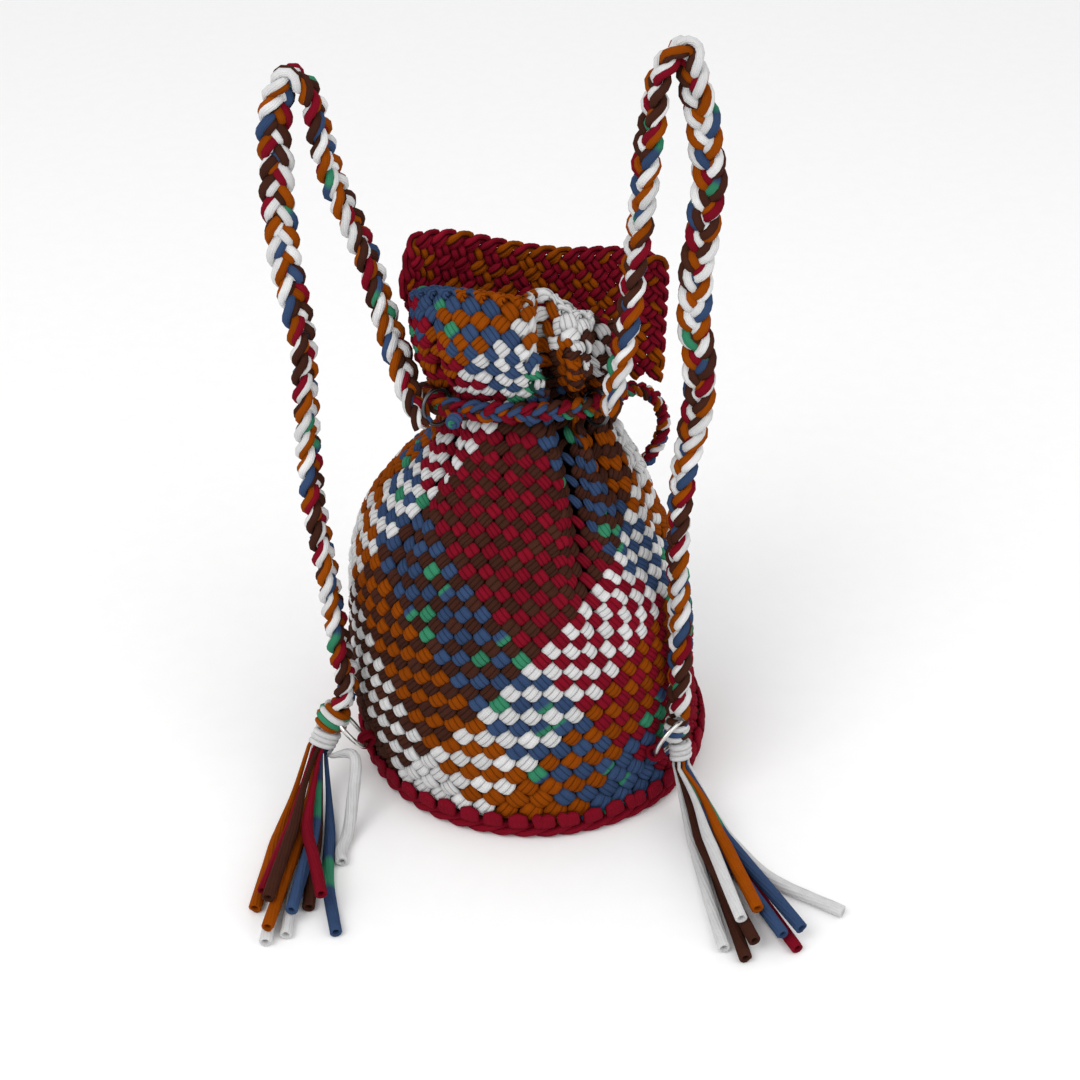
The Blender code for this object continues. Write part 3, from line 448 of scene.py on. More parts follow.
def drawstring_line(angle):
    """Middle of the drawstring at an angle, and the way out of the wall there."""
    before, at, after = (wall_point(angle + step, NECK_ARC + 0 * angle, pleated=False) for step in (-0.01, 0.0, 0.01))
    ahead = unit(after - before)
    out = unit(np.cross(ahead, np.array([0.0, 0.0, 1.0])))
    return at + out * (DRAWSTRING / 2 + GAP), out, ahead


def base_ring_seat(side):
    """Where a yarn loop leaves the wall, and the way out there."""
    degrees, height = BASE_RING_SEATS[side]
    angle = math.radians(degrees)
    out = np.array([math.sin(angle), -math.cos(angle), 0.0])
    return wall_point(angle, arc_at(height)) + out * GAP, out


def strand_slot(start, axis, layer, place):
    """Where a strand leaves the binding: its place runs to the right and its layer upward."""
    wide = unit(np.cross([0.0, 1.0, 0.0], axis))
    wide = wide * np.sign(wide[0])
    deep = np.cross(wide, axis)
    deep = deep * np.sign(deep[2])
    return start + wide * SLOT_PITCH * place + deep * SLOT_LAYER * (layer - 1)


def lying(layer):
    """Height of the middle of a strand that lies on the floor, or on so many layers of others."""
    return YARN / 2 + GAP + LAYER_HEIGHT * layer


def strand_route(side, strand, start, axis):
    """From its slot under the binding, down to the landed row, and on along the floor to its end."""
    layer, place, _, end_x, end_y, bow = strand
    plan = TASSELS[side]
    slot = strand_slot(start, axis, layer, place)
    landed = np.array([*(np.array(plan["landing"]) + unit(plan["across"]) * LANDED_PITCH * place), lying(layer)])
    landed[1] -= LAYER_REACH * layer
    end = np.array([end_x, end_y, lying(layer)])
    leave = slot + axis * STRAND_STRAIGHT
    bend = leave + (landed - leave) * BEND_SHARE + np.array(BEND_SHIFT) + np.array([0.0, 0.0, BEND_RISE * layer])
    middle = (landed + end) / 2 + np.array([bow, 0.0, 0.0])
    swell = [YARN_IN_BINDING, YARN_IN_BINDING, YARN_AT_BEND, YARN_LANDED, 1.0, 1.0]
    return [slot, leave, bend, landed, middle, end], swell


def rim_height(angle):
    """Height of the rim at an angle from the front: a level, and a cosine and a sine of the angle for its tilts."""
    return RIM_HEIGHT + RIM_TILT_FRONT * np.cos(angle) + RIM_TILT_RIGHT * np.sin(angle)


def flap_middle(s, t):
    """Sheet between a lower edge outside the rear rim and an upper edge; it leans only above the rim."""
    reach = 2 * GAP + FLAP_THICKNESS / 2
    turn = np.radians(FLAP_FOOT_ANGLES)
    x = (RUFFLE_RIGHT - RUFFLE_LEFT) / 2 - LEAN + ((RUFFLE_RIGHT + RUFFLE_LEFT) / 2 + reach) * np.sin(turn)
    y = (RIM_BACK - RIM_FRONT) / 2 - ((RIM_BACK + RIM_FRONT) / 2 + reach) * np.cos(turn)
    lower = [*zip(x, y, FLAP_FOOT_HEIGHTS), *FLAP_FREE_FOOT]
    top = TOTAL_HEIGHT - FLAP_THICKNESS / 2
    upper = [(a, b, top - drop) for a, b, drop in FLAP_TOP]
    low = through(FLAP_FOOT_SHARES, lower, s)
    high = through(FLAP_TOP_SHARES, upper, s)
    rim = rim_height(np.interp(s, FLAP_FOOT_SHARES[:len(turn)], turn)) + RIM_CLEARANCE
    z = low[..., 2] + (high[..., 2] - low[..., 2]) * t
    lean = np.clip((z - rim) / (high[..., 2] - rim), 0.0, 1.0)[..., None]
    flat = low[..., :2] + (high[..., :2] - low[..., :2]) * lean
    return np.concatenate([flat, z[..., None]], axis=-1)


def strap_path(side, count):
    """Points along a strap, the way ahead at each and the way across its broad side."""
    rows = along(STRAP_ROUTES[side], count)
    path, turn = rows[:, :3], np.radians(rows[:, 3])
    ahead = unit(np.gradient(path, axis=0))
    ahead[-1] = unit(STRAP_ENDS[side])
    front = np.array([0.0, 1.0, 0.0])
    first = unit(front - (ahead @ front)[:, None] * ahead)
    second = np.cross(ahead, first)
    return path, ahead, np.cos(turn)[:, None] * first + np.sin(turn)[:, None] * second


# Shader maths


class Socket:
    """Output of a shader node; arithmetic on it adds the maths nodes that do the sum."""

    def __init__(self, maker, output):
        self.maker, self.output = maker, output

    def maths(self, operation, *values):
        """Maths node that takes these values."""
        return self.maker.node("ShaderNodeMath", {"operation": operation}, *values)

    def __add__(self, other):
        return self.maths("ADD", self, other)

    def __sub__(self, other):
        return self.maths("SUBTRACT", self, other)

    def __rsub__(self, other):
        return self.maths("SUBTRACT", other, self)

    def __mul__(self, other):
        return self.maths("MULTIPLY", self, other)

    def __pow__(self, other):
        return self.maths("POWER", self, other)

    def sine(self):
        return self.maths("SINE", self)

    def other(self, output):
        """Another output of the same node."""
        return Socket(self.maker, self.output.node.outputs[output])

    __radd__ = __add__
    __rmul__ = __mul__


class Maker:
    """Node tree of a material or of the world, made node by node."""

    def __init__(self, owner):
        owner.use_nodes = True
        self.owner, self.tree = owner, owner.node_tree
        self.tree.nodes.clear()

    def node(self, kind, settings, *values, named=None, output=0):
        """Node of a kind with its settings; values go to its inputs in order, and named ones by name."""
        made = self.tree.nodes.new(kind)
        for key, value in settings.items():
            setattr(made, key, value)
        for key, value in [*enumerate(values), *(named or {}).items()]:
            if isinstance(value, Socket):
                self.tree.links.new(value.output, made.inputs[key])
            elif value is not None:
                made.inputs[key].default_value = value
        return Socket(self, made.outputs[output] if made.outputs else None)

    def mix(self, share, first, second, blend="MIX"):
        """Colour between two colours."""
        return self.node("ShaderNodeMix", {"data_type": "RGBA", "blend_type": blend}, share,
                         named={6: first, 7: second}, output=2)

    def noise(self, vector, scale, detail=2.0):
        """Smooth random value over space."""
        return self.node("ShaderNodeTexNoise", {}, vector, named={"Scale": scale, "Detail": detail})

    def stretched(self, vector, amounts):
        """Vector times an amount along each axis."""
        return self.node("ShaderNodeVectorMath", {"operation": "MULTIPLY"}, vector, amounts)

    def finish(self, shader, output="ShaderNodeOutputMaterial"):
        """Owner of the tree, once its shader reaches its output."""
        self.node(output, {}, shader)
        return self.owner


def jersey(name):
    """Rolled jersey yarn: its colour is the piece's own attribute, mottled, with fine knit lines and creases.

    The attribute's alpha is 1 at the bottom of a groove between yarns, which its fifth power turns into painted
    shade.
    """
    maker = Maker(bpy.data.materials.new(name))
    colour = maker.node("ShaderNodeAttribute", {"attribute_name": "yarn_colour"})
    groove = colour.other("Alpha") ** 5.0
    round_it = maker.node("ShaderNodeUVMap", {"uv_map": "yarn"})
    length = maker.node("ShaderNodeSeparateXYZ", {}, round_it)
    turn = length.other(1)
    place = maker.node("ShaderNodeTexCoord", {}, output=3)
    blotches = maker.noise(place, 95.0, 3.0)
    fibres = maker.noise(maker.stretched(round_it, (260.0, 26.0, 1.0)), 1.0, 4.0)
    creases = maker.noise(maker.stretched(round_it, (45.0, 5.0, 1.0)), 1.0, 2.0)
    ribs = ((turn * 11.0 + length * 60.0 + blotches * 0.6) * (2 * math.pi)).sine()
    stitches = (length * 5200.0 + ribs * 1.1).sine()
    # Mottled tone, times painted shade along the grooves between yarns
    shade = (0.80 + blotches * 0.30 + fibres * 0.16 + ribs * 0.035) * (1.0 - groove * 0.74)
    tinted = maker.mix(1.0, colour, maker.node("ShaderNodeCombineXYZ", {}, shade, shade, shade), "MULTIPLY")
    height = ribs * 0.35 + stitches * 0.12 + fibres * 0.9 + creases * 1.6 - groove * 1.5
    bump = maker.node("ShaderNodeBump", {}, 0.55, 0.0007, named={"Height": height})
    return maker.finish(maker.node("ShaderNodeBsdfPrincipled", {}, tinted, named={
        "Roughness": 0.80 + fibres * 0.16, "Normal": bump, "Specular IOR Level": 0.04}))


def metal(name, colour, roughness):
    """Ring metal, with a little unevenness from handling."""
    maker = Maker(bpy.data.materials.new(name))
    place = maker.node("ShaderNodeTexCoord", {}, output=3)
    wear = maker.noise(place, 400.0, 3.0)
    tint = maker.mix(wear, (*(0.82 * c for c in colour), 1.0), (*colour, 1.0))
    bump = maker.node("ShaderNodeBump", {}, 0.15, 0.0002, named={"Height": wear})
    return maker.finish(maker.node("ShaderNodeBsdfPrincipled", {}, tint, named={
        "Metallic": 1.0, "Roughness": roughness + wear * 0.12, "Normal": bump}))


# Yarns


class Piece:
    """Collects skins of yarn, then becomes one mesh object."""

    def __init__(self):
        self.points, self.colours, self.grooves, self.faces, self.corners = [], [], [], [], []
        self.count = 0

    def add(self, grid, length, colour, closed=False, groove=0.0):
        """Skins from a grid of strands, sections and sides; colour is given for each section or vertex."""
        strands, sections, sides = grid.shape[:3]
        if colour.ndim == 3:
            colour = np.repeat(colour[:, :, None, :], sides, axis=2)
        self.points.append(grid.reshape(-1, 3))
        self.colours.append(colour.reshape(-1, 3))
        # Groove marks, where the material paints a line of shade
        self.grooves.append(np.broadcast_to(groove, grid.shape[:3]).ravel())
        index = self.count + np.arange(strands * sections * sides).reshape(strands, sections, sides)
        across = np.roll(index, -1, axis=2)
        ahead, far = (np.roll(a, -1, axis=1) for a in (index, across))
        quads = np.stack([index, across, far, ahead], axis=-1)
        length = np.broadcast_to(length, (strands, sections))
        step = np.roll(length, -1, axis=1)
        if closed:
            step[:, -1] = length[:, -1] + (length[:, -1] - length[:, -2])
        side = np.arange(sides) / sides
        u = np.stack(np.broadcast_arrays(
            *(a[:, :, None] + 0 * side for a in (length, length, step, step))), axis=-1)
        v = np.broadcast_to(np.stack([side, side + 1 / sides, side + 1 / sides, side], axis=-1), u.shape)
        corner = np.stack([u, v], axis=-1)
        if not closed:
            quads, corner = quads[:, :-1], corner[:, :-1]
        self.faces += quads.reshape(-1, 4).tolist()
        self.corners.append(corner.reshape(-1, 2))
        if not closed:
            for k, ends in ((0, index[:, 0, ::-1]), (-1, index[:, -1])):
                self.faces += ends.tolist()
                flat = np.stack([np.repeat(length[:, k, None], sides, axis=1), np.tile(side, (strands, 1))], axis=-1)
                self.corners.append(flat.reshape(-1, 2))
        self.count += strands * sections * sides

    def yarn(self, line, rise, wide, high, name, seed, section=None, closed=False, ahead=None):
        """Skin of one yarn: a section swept along a line with its top towards rise, in one colour."""
        section = rounded(8) if section is None else section
        ahead = slopes(line, closed) if ahead is None else ahead
        rise = np.broadcast_to(rise, line.shape)
        length = lengths(line)[None]
        grid = sweep(line[None], ahead[None], rise[None], wide, high, section)
        self.add(grid, length, dyed([name], length, seed), closed)

    def woven(self, name, slot, *nodes):
        """Mesh object of yarn that rides on the bag."""
        return self.make(name, "bag", slot, bpy.data.materials.get("jersey_yarn") or jersey("jersey_yarn"), *nodes)

    def make(self, name, body, slot, material, *nodes):
        """Mesh object with its yarn map and colours, riding on a body and standing for CAD nodes."""
        mesh = bpy.data.meshes.new(name)
        mesh.from_pydata(np.concatenate(self.points), [], self.faces)
        mesh.uv_layers.new(name="yarn").data.foreach_set("uv", np.concatenate(self.corners).ravel())
        # The colour's alpha carries the groove marks for the material's painted shade
        four = np.column_stack([np.concatenate(self.colours), np.concatenate(self.grooves)])
        mesh.color_attributes.new("yarn_colour", "FLOAT_COLOR", "POINT").data.foreach_set("color", four.ravel())
        mesh.shade_smooth()
        mesh.materials.append(material)
        item = bpy.data.objects.new(name, mesh)
        bpy.context.scene.collection.objects.link(item)
        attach(item, body)
        if nodes:
            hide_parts(*nodes)
        return item


def lengths(path):
    """Distance along each path from its start."""
    steps = np.linalg.norm(np.diff(path, axis=-2), axis=-1)
    return np.concatenate([np.zeros(steps.shape[:-1] + (1,)), np.cumsum(steps, axis=-1)], axis=-1)


def dyed(names, length, seed):
    """Colour along each strand: a tone of its own that drifts along a sine, and green stretches on blue yarn.

    A stretch is where the sum of two sines along the yarn is high.
    """
    noise = np.random.default_rng(seed)
    count = len(names)
    colours = bpy.context.scene.backpack_colours
    base = np.array([getattr(colours, name)[:] for name in names])[:, None, :]
    phase = noise.uniform(0, 2 * math.pi, (count, 3))[:, :, None]
    tone = noise.normal(1.0, TONE_SPREAD, (count, 1)) + TONE_DRIFT * np.sin(length * DRIFT_WAVE + phase[:, 0])
    spell = np.sin(length * GREEN_WAVES[0] + phase[:, 1]) + 0.9 * np.sin(length * GREEN_WAVES[1] + phase[:, 2])
    green = np.clip((spell - GREEN_FROM) * GREEN_EDGE, 0, 1)[..., None]
    green = green * np.array([name == "blue" for name in names])[:, None, None]
    return (base * (1 - green) + np.array(colours.green[:]) * green) * tone[..., None]


def rounded(sides, groove=0.0, width=0.45):
    """Unit section of a yarn with one soft groove along its top."""
    turn = np.arange(sides) * 2 * math.pi / sides
    off = (turn - math.pi / 2 + math.pi) % (2 * math.pi) - math.pi
    reach = 1 - groove * np.exp(-((off / width) ** 2))
    return np.stack([np.cos(turn) * reach, np.sin(turn) * reach], axis=-1)


def mirrored(half):
    """Section from one edge over its top to the other edge and back by a keel, from the half before its top."""
    half = np.array(half)
    return np.concatenate([half, half[-2::-1] * (-1, 1), [(0, -.8)]])


# Sections of a strand of the weave: three yarns side by side, two yarns, and either pressed together where the strand
# dives under others; then that of a stitch, flat on top
TRIPLE = mirrored([(1, -.15), (.93, .50), (.64, .88), (.36, .68), (.26, .90), (0, 1)])
PAIR = mirrored([(1, -.15), (.95, .48), (.70, .90), (.34, .98), (.12, .86), (0, .60)])
PRESSED = mirrored([(1, -.15), (.90, .42), (.62, .74), (.34, .90), (.17, .97), (0, 1)])
BOXY = mirrored([(1, -.2), (.97, .50), (.84, .84), (.50, .97), (0, 1)])


def grooves(section):
    """1 at the bottom of each groove of a section and 0 elsewhere: where the material paints a line of shade."""
    reach = np.linalg.norm(section, axis=-1)
    return ((reach < 0.78) & (section[..., 1] > -0.75)).astype(float)


def sweep(path, ahead, rise, wide, high, section):
    """Grid of points: a section carried along each path, its top towards rise."""
    ahead = unit(ahead)
    side = unit(np.cross(rise, ahead))
    rise = np.cross(ahead, side)
    wide = np.broadcast_to(wide, path.shape[:-1])[..., None, None]
    high = np.broadcast_to(high, path.shape[:-1])[..., None, None]
    across = wide * section[..., 0, None] * side[..., None, :]
    return path[..., None, :] + across + high * section[..., 1, None] * rise[..., None, :]


def slopes(path, closed=False):
    """Direction along each path, from its neighbours on both sides."""
    if closed:
        return np.roll(path, -1, axis=-2) - np.roll(path, 1, axis=-2)
    return np.gradient(path, axis=-2)


def braid(piece, path, ahead, broad, width, thickness, strands, seed, closed=False, size=1.0):
    """Flat braid of three strands along a path, each of yarns twisted about each other; size narrows it on the way.

    A strand sways across by a sine and in and out by the sine of twice the angle, a third of a turn after the last.
    """
    size = size * np.ones(len(path))
    ahead = unit(ahead)
    broad = unit(broad - (broad * ahead).sum(axis=-1, keepdims=True) * ahead)
    face = np.cross(ahead, broad)
    length = lengths(path)
    whole = length[-1] + (np.linalg.norm(path[0] - path[-1]) if closed else 0.0)
    period = BRAID_PERIOD * width
    if closed:
        period = whole / round(whole / period)
    bundle, depth = BRAID_STRAND[0] * width, BRAID_STRAND[1] * thickness
    number = 0
    for i, names in enumerate(strands):
        t = 2 * math.pi * (length / period + i / 3)
        middle = path + (BRAID_SWAY[0] * width * size * np.sin(t))[:, None] * broad
        middle = middle + (BRAID_SWAY[1] * thickness * size * np.sin(2 * t))[:, None] * face
        way = unit(slopes(middle, closed))
        across = unit(np.cross(face, way))
        rise = np.cross(way, across)
        spin = BRAID_TWIST * length + 1.9 * seed + 2.0 * i
        if closed:
            spin = 2 * math.pi * round(BRAID_TWIST * whole / (2 * math.pi)) * length / whole + 2.0 * i
        for j, name in enumerate(names):
            phase = spin + 2 * math.pi * j / len(names)
            line = middle + across * (BRAID_APART[0] * bundle * size * np.cos(phase))[:, None]
            line = line + rise * (BRAID_APART[1] * depth * size * np.sin(phase))[:, None]
            piece.yarn(line, rise, BRAID_YARN[0] * bundle * size, BRAID_YARN[1] * depth * size, name, seed + number,
                       closed=closed, ahead=way)
            number += 1


def coil(piece, start, axis, wide, length, half_wide, half_deep, turns, yarn, names, seed, belly=0.0):
    """Yarn wound round an oval, side by side along an axis; each turn takes the next colour."""
    axis = unit(axis)
    wide = unit(wide - np.dot(wide, axis) * axis)
    deep = np.cross(axis, wide)
    t = np.linspace(0, 1, 22 * turns + 1)
    turn = 2 * math.pi * turns * t
    swell = 1 - belly * (2 * t - 1) ** 2
    out = (np.cos(turn)[:, None] * wide * half_wide + np.sin(turn)[:, None] * deep * half_deep) * swell[:, None]
    line = start + axis * (length * t)[:, None] + out
    grid = sweep(line[None], slopes(line)[None], unit(out)[None], length / turns * 0.56, yarn, rounded(8))
    which = np.minimum((t * turns).astype(int), turns - 1)
    choice = [names[k % len(names)] for k in range(turns)]
    shades = dyed(choice, lengths(line)[None] + np.zeros((turns, 1)), seed)
    piece.add(grid, lengths(line)[None], shades[which, np.arange(len(t))][None])


# Wall


def row_arc(row):
    """Arc length above the foot at a row of crossings."""
    rows = np.arange(0, ROW_STOPS[-1], 0.25)
    heights = np.interp(rows, ROW_STOPS, ROW_HEIGHTS)
    arcs = np.concatenate([[0.0], np.cumsum((heights[1:] + heights[:-1]) / 2 * 0.25)])
    return np.interp(row, rows, arcs)


def column_angles(arcs, steps=720):
    """Angle from the front, and the share of the way round that the weave has got to, at each arc length."""
    angle = np.linspace(-math.pi, math.pi, steps + 1)
    points = wall_point(angle[None, :], arcs[:, None], pleated=False)
    depth = pleat_depth(angle[None, :], arcs[:, None])
    stretch = np.interp(arcs, *PLEAT_STRETCH)[:, None]
    step = np.hypot(np.linalg.norm(np.diff(points, axis=1), axis=2), stretch * np.diff(depth, axis=1))
    wider = np.interp(arcs, *FRONT_WIDENING)[:, None]
    step = step / (1 + wider * np.cos((angle[1:] + angle[:-1]) / 2))
    share = np.concatenate([np.zeros((len(arcs), 1)), np.cumsum(step, axis=1)], axis=1)
    share = share / share[:, -1:]
    return angle, share - share[:, steps // 2, None]


def angles_at(column, arcs):
    """Angle at which each column of the weave, counted from the front, stands at each arc length."""
    angle, share = column_angles(arcs)
    found = np.empty(column.shape)
    for k in range(len(arcs)):
        found[:, k] = np.interp((column[:, k] / WALL_STRANDS - share[k, 0]) % 1.0 + share[k, 0], share[k], angle)
    return found


def squared(wave):
    """Wave with flatter tops: its sign times a power of its size."""
    return np.sign(wave) * np.abs(wave) ** SQUARENESS


def wall_frames(angle, arc):
    """Point of the wall's outer face, its normal and its direction up the wall."""
    step = 0.0004
    at = wall_point(angle, arc)
    turn = wall_point(angle + step / 0.08, arc) - wall_point(angle - step / 0.08, arc)
    rise = wall_point(angle, np.minimum(arc + step, KNOTS[-1])) - wall_point(angle, np.maximum(arc - step, 0.0))
    return at, unit(np.cross(turn, rise)), unit(rise)


def sagging(arcs, rows, angle):
    """Arc length of each point of a row: its arc at the front, less what it sags by at its angle from the front."""
    side = np.sin(angle)
    sag = np.interp(rows, SAG_STOPS, SAG) * side ** 2 + np.interp(rows, SAG_STOPS, SAG_RIGHT) * side
    return np.maximum(arcs - sag * (rows < SAG_STOPS[-1]), 0.0)


def bands(runs):
    """Colour of each strand from runs of like strands."""
    return [name for count, name in runs for _ in range(count)]


def wall_strands(sign, runs, seed):
    """One family of strands, in two halves; sign is -1 for falling and 1 for rising ones.

    A strand's column goes up by half a column a row, and it is on top at every second row. It waves in and out by a
    cosine of the row, and past the top of the wall it goes on round a quarter circle or more, inward.
    """
    top = KNOTS[-1]
    crests = np.arange(-2, ROW_STOPS[-1], 2) + (sign == 1)
    rows = (crests[:, None] + np.array(OVER + UNDER)).ravel()
    rows = rows[(rows >= 0) & (rows < np.interp(top, row_arc(rows), rows) + RIM_ROWS)]
    arcs = row_arc(rows)
    on_wall = np.minimum(arcs, top - 0.0002)
    column = np.arange(WALL_STRANDS)[:, None] + sign * rows / 2 + np.interp(rows, TWIST_STOPS, TWIST)
    turn, left, right = (angles_at(column + shift, on_wall) for shift in (0.0, -0.5, 0.5))
    at, normal, up = wall_frames(turn, sagging(on_wall, rows, turn))
    beside = [wall_point(angle, sagging(on_wall, rows, angle)) - at for angle in (left, right)]
    rolled = np.maximum(arcs - on_wall, 0.0) / RIM_ROLL
    out = np.sin(rolled)[:, None] * up - (1 - np.cos(rolled))[:, None] * normal
    face = np.cos(rolled)[:, None] * normal + np.sin(rolled)[:, None] * up
    crest = -sign * np.cos(math.pi * rows)
    wave = squared(crest)
    puffed = np.clip((crest - SWELL_FROM) / SWELL_OVER, 0.0, 1.0)
    noise = np.random.default_rng(seed)
    stout = noise.normal(1.0, UNEVEN, (WALL_STRANDS, 1))
    middle = at + RIM_ROLL * out + face * (wave * WALL_WAVE - WALL_DEPTH)[:, None]
    ahead = slopes(middle)
    along_it = unit(ahead)
    apart = sum(np.linalg.norm(half - (half * along_it).sum(axis=-1, keepdims=True) * along_it, axis=-1)
                for half in beside)
    wide = np.clip(apart / 2, *STRAND_HALF_WIDTHS) * (STRAND_WIDE[0] + STRAND_WIDE[1] * puffed) * stout
    high = bpy.context.scene.backpack_yarn.wall_yarn * (STRAND_HIGH[0] + STRAND_HIGH[1] * puffed) * stout
    fluted = np.where((np.arange(WALL_STRANDS) % 3 == 0)[:, None, None], PAIR, TRIPLE)[:, None]
    section = PRESSED + (fluted - PRESSED) * puffed[:, None, None]
    grid = sweep(middle, ahead, face, wide, high, section)
    length = lengths(middle)
    # Painted shade: darker where a strand dives under others and down its sides
    shade = np.interp(crest, *DIVE_SHADE)[:, None] * np.interp(section[..., 1], *SIDE_SHADE)
    colour = dyed(bands(runs), length, seed)[:, :, None, :] * shade[..., None]
    pieces = []
    for half in (slice(0, WALL_STRANDS // 2), slice(WALL_STRANDS // 2, None)):
        piece = Piece()
        piece.add(grid[half], length[half], colour[half], groove=grooves(fluted)[half])
        pieces.append(piece)
    return pieces


# Flap


# Section of the flap's yarn: one groove on each face
TWIN = np.array([(1, 0), (.72, .85), (.07, .50), (-.07, .50), (-.72, .85),
                 (-1, 0), (-.72, -.85), (-.07, -.50), (.07, -.50), (.72, -.85)])
def flap_runs():
    """Closed runs of yarn over the flap's grid: each goes diagonally and turns back at the edges."""
    seen, runs = set(), []
    for first in range(1, FLAP_CELLS, 2):
        p, r, dp, dr = first, 0, 1, 1
        run = []
        while (p, r, dp, dr) not in seen:
            seen.add((p, r, dp, dr))
            edge = p in (0, FLAP_CELLS) or r in (0, FLAP_LINES)
            over = (r % 2 == 0) == (dp * dr > 0)
            run.append((p, r, 0 if edge else (1 if over else -1)))
            p, r = p + dp, r + dr
            dp = -dp if p in (0, FLAP_CELLS) else dp
            dr = -dr if r in (0, FLAP_LINES) else dr
        if len(run) > 2 and not any((a, b, c) in done for done in runs for a, b, c in run[1:2]):
            runs.append(run)
    return runs


def flap_place(across, down):
    """Point of the flap's sheet and its share of the height there, where down is measured from its top edge."""
    depth = flap_middle(across, 1 + 0 * across)[..., 2] - flap_middle(across, 0 * across)[..., 2]
    share = 1 - down / depth
    return flap_middle(across, share), share


def flap_piece():
    """Runs of yarn over the flap's sheet: each is a closed line that waves out and in, cut where the sheet ends.

    A yarn's width is its room between its neighbours: the cell's area over the length of its diagonal.
    """
    piece = Piece()
    part = np.arange(FLAP_SECTIONS) / FLAP_SECTIONS
    for number, run in enumerate(flap_runs()):
        stops = np.array(run, float)
        after = np.roll(stops, -1, axis=0)
        place = (stops[:, None, :2] + (after - stops)[:, None, :2] * part[:, None]).reshape(-1, 2)
        ease = (1 - np.cos(math.pi * part)) / 2
        wave = (stops[:, None, 2] + (after - stops)[:, None, 2] * ease).ravel()
        wave = squared(wave)
        place = (np.roll(place, 1, axis=0) + 2 * place + np.roll(place, -1, axis=0)) / 4
        a = np.clip(FLAP_FILL[0] * (2 * place[:, 0] / FLAP_CELLS - 1), -1, 1)
        b = np.clip(FLAP_FILL[1] * (2 * place[:, 1] / FLAP_LINES - 1), -1, 1)
        cut = np.abs(a * b) ** 7
        across = 0.5 + a * (FLAP_SHARE[0] - FLAP_CORNER[0] * cut)
        down = FLAP_DEEP * (0.5 + b * (FLAP_SHARE[1] - FLAP_CORNER[1] * cut))
        step = 0.002
        middle, height = flap_place(across, down)
        over_s = (flap_place(across + step, down)[0] - flap_place(across - step, down)[0]) / (2 * step * FLAP_CELLS)
        tiny = step * FLAP_DEEP
        over_t = (flap_place(across, down - tiny)[0] - flap_place(across, down + tiny)[0]) / (2 * step * FLAP_LINES)
        cross = np.cross(over_s, over_t)
        normal = unit(cross)
        spacing = np.linalg.norm(cross, axis=1) / np.hypot(
            np.linalg.norm(over_s, axis=1), np.linalg.norm(over_t, axis=1))
        line = middle + normal * (wave * FLAP_WAVE)[:, None]
        edge = (np.abs(a) > 1 - 1 / FLAP_CELLS) | (np.abs(b) > 1 - 1 / FLAP_LINES)
        wide = spacing * (FLAP_WIDE[0] + FLAP_WIDE[1] * np.abs(wave)) * np.where(edge, FLAP_EDGE, 1.0)
        high = FLAP_HIGH[0] + FLAP_HIGH[1] * np.abs(wave)
        grid = sweep(line, slopes(line, True), normal, wide, high, TWIN)
        length = lengths(line)
        pair = FLAP_TONES[number % len(FLAP_TONES)]
        tones = [dyed([name], length[None], 700 + 2 * number + k)[0] for k, name in enumerate(pair)]
        colour = np.where((TWIN[:, 0] > 0)[:, None], tones[0][:, None], tones[1][:, None])
        # Painted shade where a yarn dives, and a little painted light where it is on top
        colour = colour * np.interp(np.abs(wave), *FLAP_SHADE)[:, None, None]
        inside = height > 0.03
        if inside.all():
            piece.add(grid[None], length[None], colour[None], closed=True, groove=grooves(TWIN))
            continue
        first = np.argmin(inside)
        order = np.roll(np.arange(len(line)), -first)
        breaks = np.flatnonzero(np.diff(inside[order].astype(int)))
        for chunk in np.split(order, breaks + 1):
            if inside[chunk[0]] and len(chunk) > 2:
                piece.add(grid[None, chunk], lengths(line[chunk])[None], colour[None, chunk], groove=grooves(TWIN))
    return piece


# Operators, one for each piece or group of like pieces


class BACKPACK_OT_camera(bpy.types.Operator):
    """Adds the camera where the photograph was taken from"""
    bl_idname = "backpack.camera"
    bl_label = "Camera"

    def execute(self, context):
        data = bpy.data.cameras.new("photo_camera")
        data.lens = context.scene.backpack_stage.lens
        data.sensor_width = 36.0
        camera = bpy.data.objects.new("photo_camera", data)
        camera.location = CAMERA_PLACE
        camera.rotation_euler = (math.radians(90 - CAMERA_PITCH), 0.0, 0.0)
        context.scene.collection.objects.link(camera)
        context.scene.camera = camera
        return {"FINISHED"}


